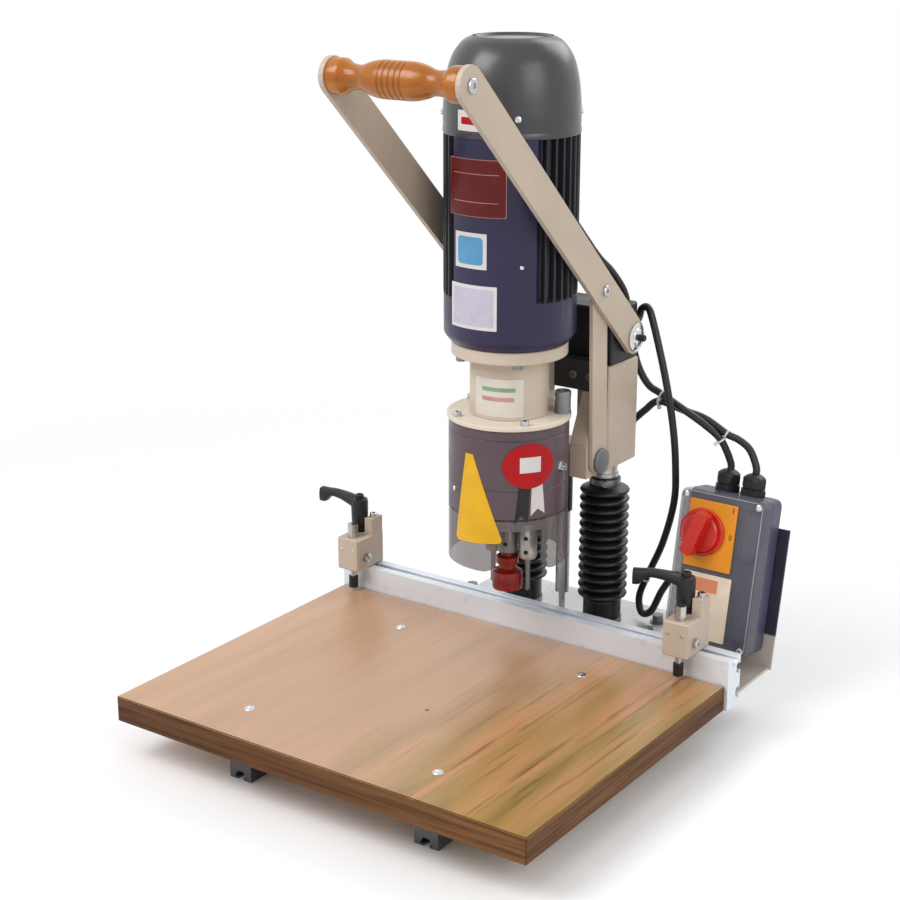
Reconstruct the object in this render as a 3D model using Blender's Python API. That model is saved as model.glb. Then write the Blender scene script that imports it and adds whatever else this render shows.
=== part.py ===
"""Hinge boring machine: a bench drill head with three spindles, lowered by a lever.

Metres, +Z up. The machine is drawn in its own layout frame: X = 0 on the head's
axis, Y = 0 on the fence's front face, Z = 0 on the table. The empty "machine" then
moves the whole layout so that the origin is the middle of its footprint.
"""
import math

import bmesh
import bpy
from mathutils import Matrix, Vector

# Fits
CLEAR = 0.0003          # gap between touching pieces, and round a shaft
OVERRUN = 0.004         # how far a cutter runs past what it cuts
ROOT = 0.001            # how deep a joined lug starts inside its carrier

# Table, rails and fence
RAIL_WIDTH = 0.030
RAIL_HEIGHT = 0.045
RAIL_SPREAD = 0.125     # rail centre from the head axis
RAIL_FRONT = -0.372
RAIL_BACK = 0.178
SLOT_MOUTH = 0.008
SLOT_ROOM = 0.016
SLOT_LIP = 0.0022
SLOT_DEPTH = 0.0095
BOARD_WIDTH = 0.540
BOARD_DEPTH = 0.410
BOARD_THICK = 0.030
BOARD_BEVEL = 0.0015
FENCE_LENGTH = 0.547
FENCE_DEPTH = 0.030
FENCE_HEIGHT = 0.060
PLATE_WIDTH = 0.290
PLATE_BACK = 0.180
PLATE_THICK = 0.020
PLATE_BEVEL = 0.002
BOARD_BOTTOM = RAIL_HEIGHT + CLEAR
BOARD_TOP = BOARD_BOTTOM + BOARD_THICK
FENCE_TOP = BOARD_BOTTOM + FENCE_HEIGHT
PLATE_TOP = BOARD_BOTTOM + PLATE_THICK

# Columns, cross beam and bellows
COLUMN_SPREAD = 0.057
COLUMN_Y = 0.089
COLUMN_RADIUS = 0.012
COLUMN_STEPS = 24
BLOCK_WIDTH = 0.044
BLOCK_FRONT = 0.055
BLOCK_BACK = 0.122
BLOCK_BOTTOM = 0.278
BLOCK_HEIGHT = 0.1253
BLOCK_BEVEL = 0.002
BLOCK_TOP = BLOCK_BOTTOM + BLOCK_HEIGHT
BEAM_HALF = 0.078
BEAM_FRONT = 0.060
BEAM_BACK = 0.118
BEAM_HEIGHT = 0.0664
BEAM_BOTTOM = BLOCK_TOP + CLEAR
BEAM_TOP = BEAM_BOTTOM + BEAM_HEIGHT
BELLOWS_RADIUS = 0.029
BELLOWS_ROOT = 0.0225
BELLOWS_BORE = 0.0135
BELLOWS_SLEEVE = 0.0245
BELLOWS_SLEEVE_HEIGHT = 0.019
BELLOWS_COLLAR = 0.0185
BELLOWS_COLLAR_HEIGHT = 0.026
BELLOWS_RIBS = 13
BELLOWS_STEPS = 18

# Head castings
HEAD_Y = -0.035
GEARBOX_RADIUS = 0.069
GEARBOX_WALL = 0.009
GEARBOX_FLOOR = 0.012
GEARBOX_BOTTOM = 0.250
GEARBOX_HEIGHT = 0.0947
GEARBOX_CHAMFER = 0.0025
LID_RADIUS = 0.071
LID_THICK = 0.013
LID_CHAMFER = 0.0015
STUD_RADIUS = 0.0085
STUD_HEIGHT = 0.040
STUD_X = 0.053
STUD_BACK = 0.028       # stud's distance behind the head axis
NECK_RADIUS = 0.047
NECK_BORE = 0.020
NECK_HEIGHT = 0.0537
NECK_FILLET = 0.004
FLANGE_RADIUS = 0.078
FLANGE_THICK = 0.0177
FLANGE_SEAT = 0.0147
RIB_HALF = 0.022
RIB_HEIGHT = 0.038
ROUND_STEPS = 32
GUARD_WALL = 0.0025
GUARD_BOTTOM = 0.188
GUARD_WINDOW_WIDTH = 0.052
GUARD_WINDOW_TOP = 0.238
GUARD_WINDOW_ANGLE = math.radians(-45)
LID_BOTTOM = GEARBOX_BOTTOM + GEARBOX_HEIGHT + CLEAR
LID_TOP = LID_BOTTOM + LID_THICK
NECK_BOTTOM = LID_TOP + CLEAR
FLANGE_BOTTOM = NECK_BOTTOM + NECK_HEIGHT
FLANGE_TOP = FLANGE_BOTTOM + FLANGE_THICK

# Motor
MOTOR_BOTTOM = FLANGE_TOP + CLEAR
MOTOR_RADIUS = 0.0745
MOTOR_BAND = 0.070
MOTOR_SHOULDER = 0.004
MOTOR_LENGTH = 0.2247
MOTOR_BORE = 0.052
FIN_TIP = 0.075
FIN_ROOT = 0.067
FIN_COUNT = 30
FIN_FILL_SHARE = 0.42   # share of the pitch that a fin takes
PANEL_FROM = math.radians(-113)
PANEL_TO = math.radians(-35)
PANEL_STEPS = 8
MOTOR_TOP = MOTOR_BOTTOM + MOTOR_LENGTH
STATOR_WALL = 0.0157
STATOR_LENGTH = 0.150
STATOR_RISE = 0.040
ROTOR_GAP = 0.0005
ROTOR_LENGTH = 0.130
ROTOR_RISE = 0.050
MOTOR_SHAFT = 0.0095
SHAFT_DROP = 0.019      # shaft end below the motor's foot
SHAFT_RISE = 0.017      # shaft end above the motor's top
COVER_RADIUS = 0.0752
COVER_HEIGHT = 0.124
COVER_WALL = 0.0028
COVER_CROWN = 0.034
COVER_RECESS = 0.004
FAN_HUB = 0.014
FAN_TIP = 0.055
FAN_HEIGHT = 0.025
FAN_BLADES = 7
FAN_BLADE_SHARE = 0.3
COVER_BOTTOM = MOTOR_TOP + CLEAR
COVER_TOP = COVER_BOTTOM + COVER_HEIGHT
TERMINAL_WIDTH = 0.070
TERMINAL_X = -0.040
TERMINAL_FRONT = 0.015
TERMINAL_BACK = 0.085
TERMINAL_BOTTOM = 0.545
TERMINAL_HEIGHT = 0.080
TERMINAL_BEVEL = 0.003

# Spindles and bits
SIDE_X = 0.024
SIDE_BACK = 0.006
TEETH = 14
TOOTH_UP = 0.0013
TOOTH_DOWN = 0.0019
TOOTH_TIP_SHARE = 0.26
TOOTH_ROOT_SHARE = 0.56
GEAR_BOTTOM = 0.285
GEAR_THICK = 0.020
SPINDLE_RADIUS = 0.009
SIDE_RADIUS = 0.006
SIDE_TOP = 0.330
CHUCK_RADIUS = 0.0125
SIDE_CHUCK = 0.0085
CHUCK_BOTTOM = 0.190
CHUCK_TOP = 0.238
CHUCK_CHAMFER = 0.0015
CUP_RADIUS = 0.0175
CUP_BOTTOM = 0.146
CUP_HEIGHT = 0.020
CUP_SHOULDER = 0.005
CUP_SHANK = 0.008
CUP_SPUR = 0.0035
SPUR_RADIUS = 0.0018
BIT_RADIUS = 0.003
BIT_BOTTOM = 0.146
BIT_POINT = 0.003
SPINDLE_STEPS = 20
GEAR_PITCH = math.hypot(SIDE_X, SIDE_BACK) / 2

# Lever and links
PIVOT_Y = 0.098
PIVOT_Z = 0.432
LEVER_LENGTH = 0.463
LEVER_ANGLE = math.radians(43.2)
LINK_REACH = 0.099
ARM_WIDTH = 0.040
ARM_THICK = 0.006
ARM_INNER = 0.081
ARM_BEVEL = 0.0008
PIN_RADIUS = 0.006
COLLAR_RADIUS = 0.010
WASHER_RADIUS = 0.013
WASHER_THICK = 0.0052
STUB_RADIUS = 0.005
STUB_LENGTH = 0.0075
LINK_WIDTH = 0.032
LINK_THICK = 0.005
LINK_FOOT_Y = 0.034
LINK_FOOT_Z = 0.297
LINK_PIN = 0.005
LINK_PIN_LENGTH = 0.0137
END_STEPS = 10
ROD_RADIUS = 0.005
GRIP_END = 0.0185
GRIP_WAIST = 0.0125
GRIP_BULGE = 0.0195
GRIP_BEAD = 0.0165
GRIP_GROOVE = 0.0012
GRIP_STEPS = 24
GUSSET_OUTER = 0.0747
GUSSET_INNER = 0.052
GUSSET_FRONT = 0.014
GUSSET_NOSE = 0.042
GUSSET_HEIGHT = 0.097
GUSSET_CREST = 0.040
LUG_DEPTH = 0.0165
LUG_AHEAD = 0.0125
LUG_BEHIND = 0.0056
LUG_UNDER = 0.0085
LUG_OVER = 0.0085
CROSS_DEPTH = 0.0147
CROSS_HEIGHT = 0.0365
TIE_FRONT = 0.072
TIE_BACK = 0.106
TIE_BOTTOM = 0.2853
TIE_THICK = 0.010

# Gas spring
TUBE_RADIUS = 0.0085
TUBE_BOTTOM = 0.099
TUBE_CAP = 0.020
GAS_ROD = 0.004
GAS_ROD_TOP = 0.190
SOCKET_RADIUS = 0.018
SOCKET_BORE = 0.0097
SOCKET_BOTTOM = 0.012
SOCKET_FLOOR = 0.006
PLATE_HOLE = 0.0105

# Stops
STOP_WIDTH = 0.032
STOP_AHEAD = 0.024
STOP_HEIGHT = 0.042
STOP_BEVEL = 0.0015
LEFT_STOP = -0.248
RIGHT_STOP = 0.217
POST_NEAR = 0.0048
POST_FAR = 0.0158
POST_FRONT = 0.006
POST_BACK = 0.028
POST_HEIGHT = 0.0204
STOP_PIN_Y = -0.0125
STOP_PIN_RADIUS = 0.004
STOP_PIN_HEAD = 0.0065
STOP_PIN_HEAD_HEIGHT = 0.017
TIP_RADIUS = 0.006
TIP_HEIGHT = 0.0147
TIP_LIFT = 0.005
CLAMP_X = -0.006
CLAMP_Y = 0.010
CLAMP_STUD = 0.004
CLAMP_STUD_DEPTH = 0.0095
CLAMP_HUB = 0.0095
CLAMP_HUB_HEIGHT = 0.044
CLAMP_HUB_TOP = 0.007
CLAMP_ARM = 0.055
CLAMP_ARM_TIP = 0.0065
CLAMP_ARM_BOTTOM = 0.036
CLAMP_ARM_THICK = 0.011
CLAMP_STEPS = 16
RIGHT_CLAMP_TURN = math.radians(20)
STOP_BOTTOM = FENCE_TOP + CLEAR
STOP_TOP = STOP_BOTTOM + STOP_HEIGHT
STOP_SEAT = STOP_TOP + CLEAR

# Switch box, in its own frame: X along its width, Y into it, Z up its face
BOX_X = 0.203
BOX_Y = 0.075
BOX_Z = 0.077
BOX_LEAN = math.radians(11)
BOX_HALF = 0.054
BOX_TALL = 0.185
BOX_LID_DEPTH = 0.0217
BOX_WALL = 0.0025
BOX_BASE_DEPTH = 0.028
BOX_BEVEL = 0.0012
FACE_LEFT = -0.050
FACE_RIGHT = 0.024
FACE_BOTTOM = 0.092
FACE_TOP = 0.180
FACE_THICK = 0.002
KNOB_X = -0.019
KNOB_Z = 0.137
KNOB_RADIUS = 0.0245
KNOB_DISC = 0.0075
KNOB_GRIP = 0.018
KNOB_GRIP_HALF = 0.007
KNOB_GRIP_LONG = 0.023
GLAND_LEFT = -0.013
GLAND_RIGHT = 0.020
GLAND_NUT = 0.011
GLAND_NUT_HEIGHT = 0.0077
GLAND_NECK = 0.008
GLAND_HEIGHT = 0.020
GLAND_STEPS = 12
BACK_LEFT = -0.040
BACK_RIGHT = 0.066
BACK_BOTTOM = -0.018
BACK_TOP = 0.150
BACK_THICK = 0.003
FOOT_LEFT = 0.222
FOOT_RIGHT = 0.266
FOOT_BACK = 0.125
FOOT_BOTTOM = 0.049
FOOT_THICK = 0.0035
FOOT_FLANGE = 0.044
BASE_FRONT = BOX_LID_DEPTH + CLEAR
BASE_BACK = BASE_FRONT + BOX_BASE_DEPTH
GLAND_Y = BASE_FRONT + BOX_BASE_DEPTH / 2
GLAND_BOTTOM = BOX_TALL + CLEAR
GLAND_TOP = GLAND_BOTTOM + GLAND_HEIGHT

# Cables
CABLE_RADIUS = 0.004
CABLE_STEP = 0.018
CABLE_STRAIGHT = 0.012
MOTOR_LEAD_Y = 0.070
MOTOR_LEAD_Z = 0.575
MOTOR_ROUTE = ((0.031, 0.100, 0.522), (0.044, 0.114, 0.501), (0.056, 0.125, 0.474), (0.060, 0.131, 0.436),
               (0.066, 0.135, 0.400), (0.082, 0.135, 0.370), (0.101, 0.135, 0.355), (0.130, 0.135, 0.345),
               (0.160, 0.140, 0.333), (0.182, 0.149, 0.311))
SENSOR_X = 0.068
SENSOR_Z = 0.320
SENSOR_ROUTE = ((0.081, 0.143, 0.330), (0.100, 0.147, 0.350), (0.130, 0.147, 0.341), (0.162, 0.154, 0.329),
                (0.187, 0.162, 0.322), (0.208, 0.163, 0.313), (0.220, 0.158, 0.298))
STOP_LEAD_X = 0.0725
STOP_LEAD_Z = 0.446
STOP_ROUTE = ((0.0760, 0.131, 0.458), (0.085, 0.130, 0.460), (0.095, 0.126, 0.443), (0.115, 0.121, 0.385),
              (0.128, 0.121, 0.326), (0.130, 0.128, 0.273), (0.126, 0.135, 0.226), (0.110, 0.140, 0.169),
              (0.088, 0.141, 0.117), (0.081, 0.139, 0.092), (0.088, 0.134, 0.075), (0.104, 0.129, 0.083),
              (0.120, 0.125, 0.115))
STOP_LEAD_END = 0.070

# Footprint, which sets where the origin lies
LEFT_REACH = LEFT_STOP + CLAMP_X - CLAMP_ARM - CLAMP_ARM_TIP
CENTRE_X = (FENCE_LENGTH / 2 + LEFT_REACH) / 2
CENTRE_Y = (PLATE_BACK - BOARD_DEPTH - CLEAR) / 2

ORIGINS = {}


def clear_scene():
    """Remove what the file holds."""
    for item in list(bpy.data.objects):
        bpy.data.objects.remove(item, do_unlink=True)


def material(name, colour, roughness, metallic):
    """A Principled material, made once for each name."""
    found = bpy.data.materials.get(name)
    if found:
        return found
    made = bpy.data.materials.new(name)
    made.use_nodes = True
    shader = made.node_tree.nodes["Principled BSDF"]
    shader.inputs["Base Color"].default_value = (*colour, 1.0)
    shader.inputs["Roughness"].default_value = roughness
    shader.inputs["Metallic"].default_value = metallic
    return made


def frame(name, location, parent="machine", lean=0.0, local=False):
    """An empty that carries pieces: on a moving piece's joint axis."""
    empty = bpy.data.objects.new(name, None)
    bpy.context.collection.objects.link(empty)
    place = Vector(location)
    if parent:
        holder, origin = ORIGINS[parent]
        empty.parent = holder
        empty.location = place if local else place - origin
    else:
        empty.location = place
        place = Vector((0, 0, 0))
    empty.rotation_euler = (-lean, 0, 0)
    ORIGINS[name] = (empty, Vector((0, 0, 0)) if local or lean else place)
    return empty


def add(name, bm, look, carrier="machine", smooth=None):
    """Turn a bmesh drawn in the carrier's frame of layout into a named object."""
    holder, origin = ORIGINS[carrier]
    bmesh.ops.translate(bm, vec=-origin, verts=bm.verts)
    bmesh.ops.recalc_face_normals(bm, faces=bm.faces)
    mesh = bpy.data.meshes.new(name)
    bm.to_mesh(mesh)
    bm.free()
    if smooth:
        mesh.shade_smooth()
        mesh.set_sharp_from_angle(angle=smooth)
    piece = bpy.data.objects.new(name, mesh)
    bpy.context.collection.objects.link(piece)
    piece.parent = holder
    if look:
        mesh.materials.append(look)
    return piece


SOFT_EDGE = math.radians(35)


def lathe_mesh(profile, centre=(0, 0, 0), axis="Z", steps=ROUND_STEPS):
    """A bmesh turned from a closed loop of (radius, height) points."""
    bm = bmesh.new()
    centre = Vector(centre)
    rings = []
    for radius, height in profile:
        ring = []
        for step in range(steps if radius > 0 else 1):
            angle = 2 * math.pi * step / steps
            across, along = radius * math.cos(angle), radius * math.sin(angle)
            spot = {"Z": (across, along, height), "X": (height, across, along), "Y": (across, height, along)}[axis]
            ring.append(bm.verts.new(centre + Vector(spot)))
        rings.append(ring)
    for first, second in zip(rings, rings[1:] + rings[:1]):
        for step in range(steps):
            following = (step + 1) % steps
            if len(first) > 1 and len(second) > 1:
                bm.faces.new((first[step], first[following], second[following], second[step]))
            elif len(first) > 1:
                bm.faces.new((first[step], first[following], second[0]))
            elif len(second) > 1:
                bm.faces.new((first[0], second[following], second[step]))
    return bm


def lathe(name, profile, look, carrier="machine", centre=(0, 0, 0), axis="Z", steps=ROUND_STEPS):
    """A turned piece."""
    return add(name, lathe_mesh(profile, centre, axis, steps), look, carrier, SOFT_EDGE)


def prism(name, outline, axis, low, high, look, carrier="machine", smooth=None):
    """An outline pushed along an axis from low to high."""
    bm = bmesh.new()
    ends = []
    for height in (low, high):
        spots = {"X": lambda a, b: (height, a, b), "Y": lambda a, b: (a, height, b), "Z": lambda a, b: (a, b, height)}
        ends.append([bm.verts.new(spots[axis](*point)) for point in outline])
    count = len(outline)
    bm.faces.new(ends[0])
    bm.faces.new(list(reversed(ends[1])))
    for step in range(count):
        following = (step + 1) % count
        bm.faces.new((ends[0][step], ends[0][following], ends[1][following], ends[1][step]))
    return add(name, bm, look, carrier, smooth)


def block(name, x, y, z, look, carrier="machine", bevel=0.0):
    """A rectangular piece between pairs of planes, with its edges broken."""
    bm = bmesh.new()
    bmesh.ops.create_cube(bm, size=1)
    for vert in bm.verts:
        for index, pair in enumerate((x, y, z)):
            vert.co[index] = pair[0] if vert.co[index] < 0 else pair[1]
    piece = add(name, bm, look, carrier)
    if bevel:
        edge = piece.modifiers.new("edges", "BEVEL")
        edge.width = bevel
        edge.segments = 1
    return piece


def pill(start, end, start_radius, end_radius=None, steps=END_STEPS):
    """The outline of a bar with round ends, which may taper."""
    end_radius = end_radius or start_radius
    run = Vector(end) - Vector(start)
    heading = math.atan2(run.y, run.x)
    points = []
    for centre, radius, turn in ((end, end_radius, heading - math.pi / 2), (start, start_radius, heading + math.pi / 2)):
        for step in range(steps + 1):
            angle = turn + math.pi * step / steps
            points.append((centre[0] + radius * math.cos(angle), centre[1] + radius * math.sin(angle)))
    return points


def combine(piece, tool, how):
    """Join a hidden tool to a piece, or cut it away."""
    tool.hide_render = True
    tool.display_type = "WIRE"
    step = piece.modifiers.new(tool.name, "BOOLEAN")
    step.operation = how
    step.solver = "EXACT"
    step.object = tool


def cut(piece, tool):
    combine(piece, tool, "DIFFERENCE")


def join(piece, tool):
    combine(piece, tool, "UNION")


def drill(piece, radius, centre, low, high, axis="Z", carrier="machine", steps=SPINDLE_STEPS):
    """Cut a round hole through a piece."""
    profile = [(0, low), (radius, low), (radius, high), (0, high)]
    cut(piece, lathe(piece.name + "_drill", profile, None, carrier, centre, axis, steps))


def ray(angle, radius, centre=(0, 0)):
    """A point at an angle and a radius from a centre."""
    return centre[0] + radius * math.cos(angle), centre[1] + radius * math.sin(angle)


def box_place(x, y, z):
    """A point of the switch box's own frame, in the layout."""
    turned = Matrix.Rotation(-BOX_LEAN, 3, "X") @ Vector((x, y, z))
    return turned + Vector((BOX_X, BOX_Y, BOX_Z))


def looks():
    """The finishes, by name."""
    return {
        "wood_board": material("wood_board", (0.55, 0.36, 0.22), 0.5, 0.0),
        "wood_handle": material("wood_handle", (0.70, 0.32, 0.06), 0.3, 0.0),
        "aluminium": material("aluminium", (0.70, 0.71, 0.73), 0.35, 1.0),
        "steel": material("steel", (0.60, 0.61, 0.63), 0.3, 1.0),
        "cream": material("cream", (0.72, 0.66, 0.54), 0.45, 0.0),
        "black": material("black", (0.02, 0.02, 0.022), 0.5, 0.0),
        "dark_grey": material("dark_grey", (0.10, 0.105, 0.11), 0.5, 0.0),
        "slate": material("slate", (0.09, 0.10, 0.13), 0.3, 0.0),
        "indigo": material("indigo", (0.035, 0.03, 0.08), 0.4, 0.0),
        "purple_grey": material("purple_grey", (0.16, 0.11, 0.13), 0.4, 0.0),
        "smoke": material("smoke", (0.35, 0.33, 0.34), 0.2, 0.0),
        "rubber": material("rubber", (0.015, 0.015, 0.015), 0.6, 0.0),
        "red": material("red", (0.60, 0.03, 0.02), 0.35, 0.0),
        "yellow": material("yellow", (0.85, 0.55, 0.02), 0.4, 0.0),
        "copper": material("copper", (0.60, 0.28, 0.12), 0.4, 1.0),
    }


def slotted_side(length, steps):
    """Points of one side of an extrusion, from 0 to length, with T-slots at the steps."""
    points = [(0, 0)]
    for middle in steps:
        mouth, room = SLOT_MOUTH / 2, SLOT_ROOM / 2
        deep = SLOT_DEPTH
        points += [(middle - mouth, 0), (middle - mouth, SLOT_LIP), (middle - room, SLOT_LIP),
                   (middle - mouth, deep), (middle + mouth, deep), (middle + room, SLOT_LIP),
                   (middle + mouth, SLOT_LIP), (middle + mouth, 0)]
    return points


def rails(look):
    """Two slotted rails, slot down, that everything stands on."""
    side = slotted_side(RAIL_WIDTH, (RAIL_WIDTH / 2,))
    for name, sign in (("left_rail", -1), ("right_rail", 1)):
        left = sign * RAIL_SPREAD - RAIL_WIDTH / 2
        outline = [(left + along, deep) for along, deep in side]
        outline += [(left + RAIL_WIDTH, 0), (left + RAIL_WIDTH, RAIL_HEIGHT), (left, RAIL_HEIGHT)]
        prism(name, outline, "Y", RAIL_FRONT, RAIL_BACK, look["aluminium"])


def fence(look):
    """The slotted fence behind the board, with slots in its top, back and front."""
    low = BOARD_BOTTOM
    quarter = FENCE_HEIGHT / 4
    outline = [(0, low)]
    outline += [(FENCE_DEPTH, low)]
    back = slotted_side(FENCE_HEIGHT, (quarter, FENCE_HEIGHT - quarter))
    outline += [(FENCE_DEPTH - deep, low + along) for along, deep in back[1:]]
    outline += [(FENCE_DEPTH, FENCE_TOP)]
    top = slotted_side(FENCE_DEPTH, (FENCE_DEPTH / 2,))
    outline += [(along, FENCE_TOP - deep) for along, deep in reversed(top[1:])]
    outline += [(0, FENCE_TOP)]
    prism("fence_rail", outline, "X", -FENCE_LENGTH / 2, FENCE_LENGTH / 2, look["aluminium"])


def table(look):
    """Board and steel base plate."""
    half = BOARD_WIDTH / 2
    block("work_board", (-half, half), (-BOARD_DEPTH - CLEAR, -CLEAR), (BOARD_BOTTOM, BOARD_TOP),
          look["wood_board"], bevel=BOARD_BEVEL)
    half = PLATE_WIDTH / 2
    plate = block("base_plate", (-half, half), (FENCE_DEPTH + CLEAR, PLATE_BACK), (BOARD_BOTTOM, PLATE_TOP),
                  look["steel"], bevel=PLATE_BEVEL)
    drill(plate, PLATE_HOLE, (0, COLUMN_Y, 0), BOARD_BOTTOM - OVERRUN, PLATE_TOP + OVERRUN)


def columns(look):
    """Guide columns, the fixed beam on their tops and the bellows round them."""
    beam = block("top_beam", (-BEAM_HALF, BEAM_HALF), (BEAM_FRONT, BEAM_BACK), (BEAM_BOTTOM, BEAM_TOP),
                 look["black"], bevel=BLOCK_BEVEL)
    base = PLATE_TOP + CLEAR
    for name, sign in (("left", -1), ("right", 1)):
        centre = (sign * COLUMN_SPREAD, COLUMN_Y, 0)
        profile = [(0, base), (COLUMN_RADIUS, base), (COLUMN_RADIUS, BEAM_TOP), (0, BEAM_TOP)]
        lathe(name + "_column", profile, look["steel"], centre=centre, steps=COLUMN_STEPS)
        drill(beam, COLUMN_RADIUS + CLEAR, centre, BEAM_BOTTOM - OVERRUN, BEAM_TOP + OVERRUN, steps=COLUMN_STEPS)
        bellows(name + "_bellows", centre, base, look["rubber"])


def bellows(name, centre, base, look):
    """A ribbed rubber sleeve with a plain foot and collar."""
    low = base + BELLOWS_SLEEVE_HEIGHT
    top = BLOCK_BOTTOM - CLEAR
    high = top - BELLOWS_COLLAR_HEIGHT
    pitch = (high - low) / BELLOWS_RIBS
    profile = [(BELLOWS_BORE, base), (BELLOWS_SLEEVE, base), (BELLOWS_SLEEVE, low)]
    for rib in range(BELLOWS_RIBS):
        profile.append((BELLOWS_RADIUS, low + pitch * (rib + 1 / 2)))
        profile.append((BELLOWS_ROOT, low + pitch * (rib + 1)))
    profile += [(BELLOWS_COLLAR, high), (BELLOWS_COLLAR, top), (BELLOWS_BORE, top)]
    profile.pop(-4)
    lathe(name, profile, look, centre=centre, steps=BELLOWS_STEPS)


def gas_spring(look):
    """The spring that lifts the head: rod on the base, tube under the head."""
    centre = (0, COLUMN_Y, 0)
    top = BOARD_BOTTOM - CLEAR
    seat = SOCKET_BOTTOM + SOCKET_FLOOR
    lathe("spring_socket", [(0, SOCKET_BOTTOM), (SOCKET_RADIUS, SOCKET_BOTTOM), (SOCKET_RADIUS, top),
                            (SOCKET_BORE, top), (SOCKET_BORE, seat), (0, seat)],
          look["steel"], centre=centre, steps=SPINDLE_STEPS)
    foot = seat + CLEAR
    lathe("spring_rod", [(0, foot), (GAS_ROD, foot), (GAS_ROD, GAS_ROD_TOP), (0, GAS_ROD_TOP)],
          look["steel"], centre=centre, steps=GLAND_STEPS)
    bore = GAS_ROD + CLEAR
    high = TIE_BOTTOM - CLEAR
    lathe("spring_tube", [(bore, TUBE_BOTTOM), (TUBE_RADIUS, TUBE_BOTTOM), (TUBE_RADIUS, high), (0, high),
                          (0, high - TUBE_CAP), (bore, high - TUBE_CAP)],
          look["black"], "head", centre, steps=SPINDLE_STEPS)


def carriage(look):
    """The sliding blocks with their gussets, the cross plate and the tie."""
    for name, sign in (("left", -1), ("right", 1)):
        def span(near, far):
            return tuple(sorted((sign * near, sign * far)))
        x = span(COLUMN_SPREAD - BLOCK_WIDTH / 2, COLUMN_SPREAD + BLOCK_WIDTH / 2)
        slide = block(name + "_slide_block", x, (BLOCK_FRONT, BLOCK_BACK), (BLOCK_BOTTOM, BLOCK_TOP),
                      look["cream"], "head", BLOCK_BEVEL)
        top = BLOCK_BOTTOM + GUSSET_HEIGHT
        outline = [(GUSSET_FRONT, BLOCK_BOTTOM), (BLOCK_FRONT + OVERRUN, BLOCK_BOTTOM),
                   (BLOCK_FRONT + OVERRUN, top), (GUSSET_CREST, top), (GUSSET_FRONT, BLOCK_BOTTOM + GUSSET_NOSE)]
        join(slide, prism(name + "_gusset", outline, "X", *span(GUSSET_INNER, GUSSET_OUTER), None, "head"))
        centre = (sign * COLUMN_SPREAD, COLUMN_Y, 0)
        drill(slide, COLUMN_RADIUS + CLEAR, centre, BLOCK_BOTTOM - OVERRUN, BLOCK_TOP + OVERRUN,
              carrier="head", steps=COLUMN_STEPS)
        lug = block(name + "_lug_slot", span(GUSSET_OUTER - LUG_DEPTH, GUSSET_OUTER + OVERRUN),
                    (LINK_FOOT_Y - LUG_AHEAD, LINK_FOOT_Y + LUG_BEHIND),
                    (LINK_FOOT_Z - LUG_UNDER, LINK_FOOT_Z + LUG_OVER), None, "head")
        cut(slide, lug)
    low = BLOCK_BOTTOM + GUSSET_HEIGHT + CLEAR
    back = BLOCK_FRONT - CLEAR
    block("cross_plate", (-GUSSET_OUTER, GUSSET_OUTER), (back - CROSS_DEPTH, back), (low, low + CROSS_HEIGHT),
          look["dark_grey"], "head", ARM_BEVEL)
    half = COLUMN_SPREAD - BLOCK_WIDTH / 2 - CLEAR
    block("carriage_tie", (-half, half), (TIE_FRONT, TIE_BACK), (TIE_BOTTOM, TIE_BOTTOM + TIE_THICK),
          look["cream"], "head")


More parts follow.
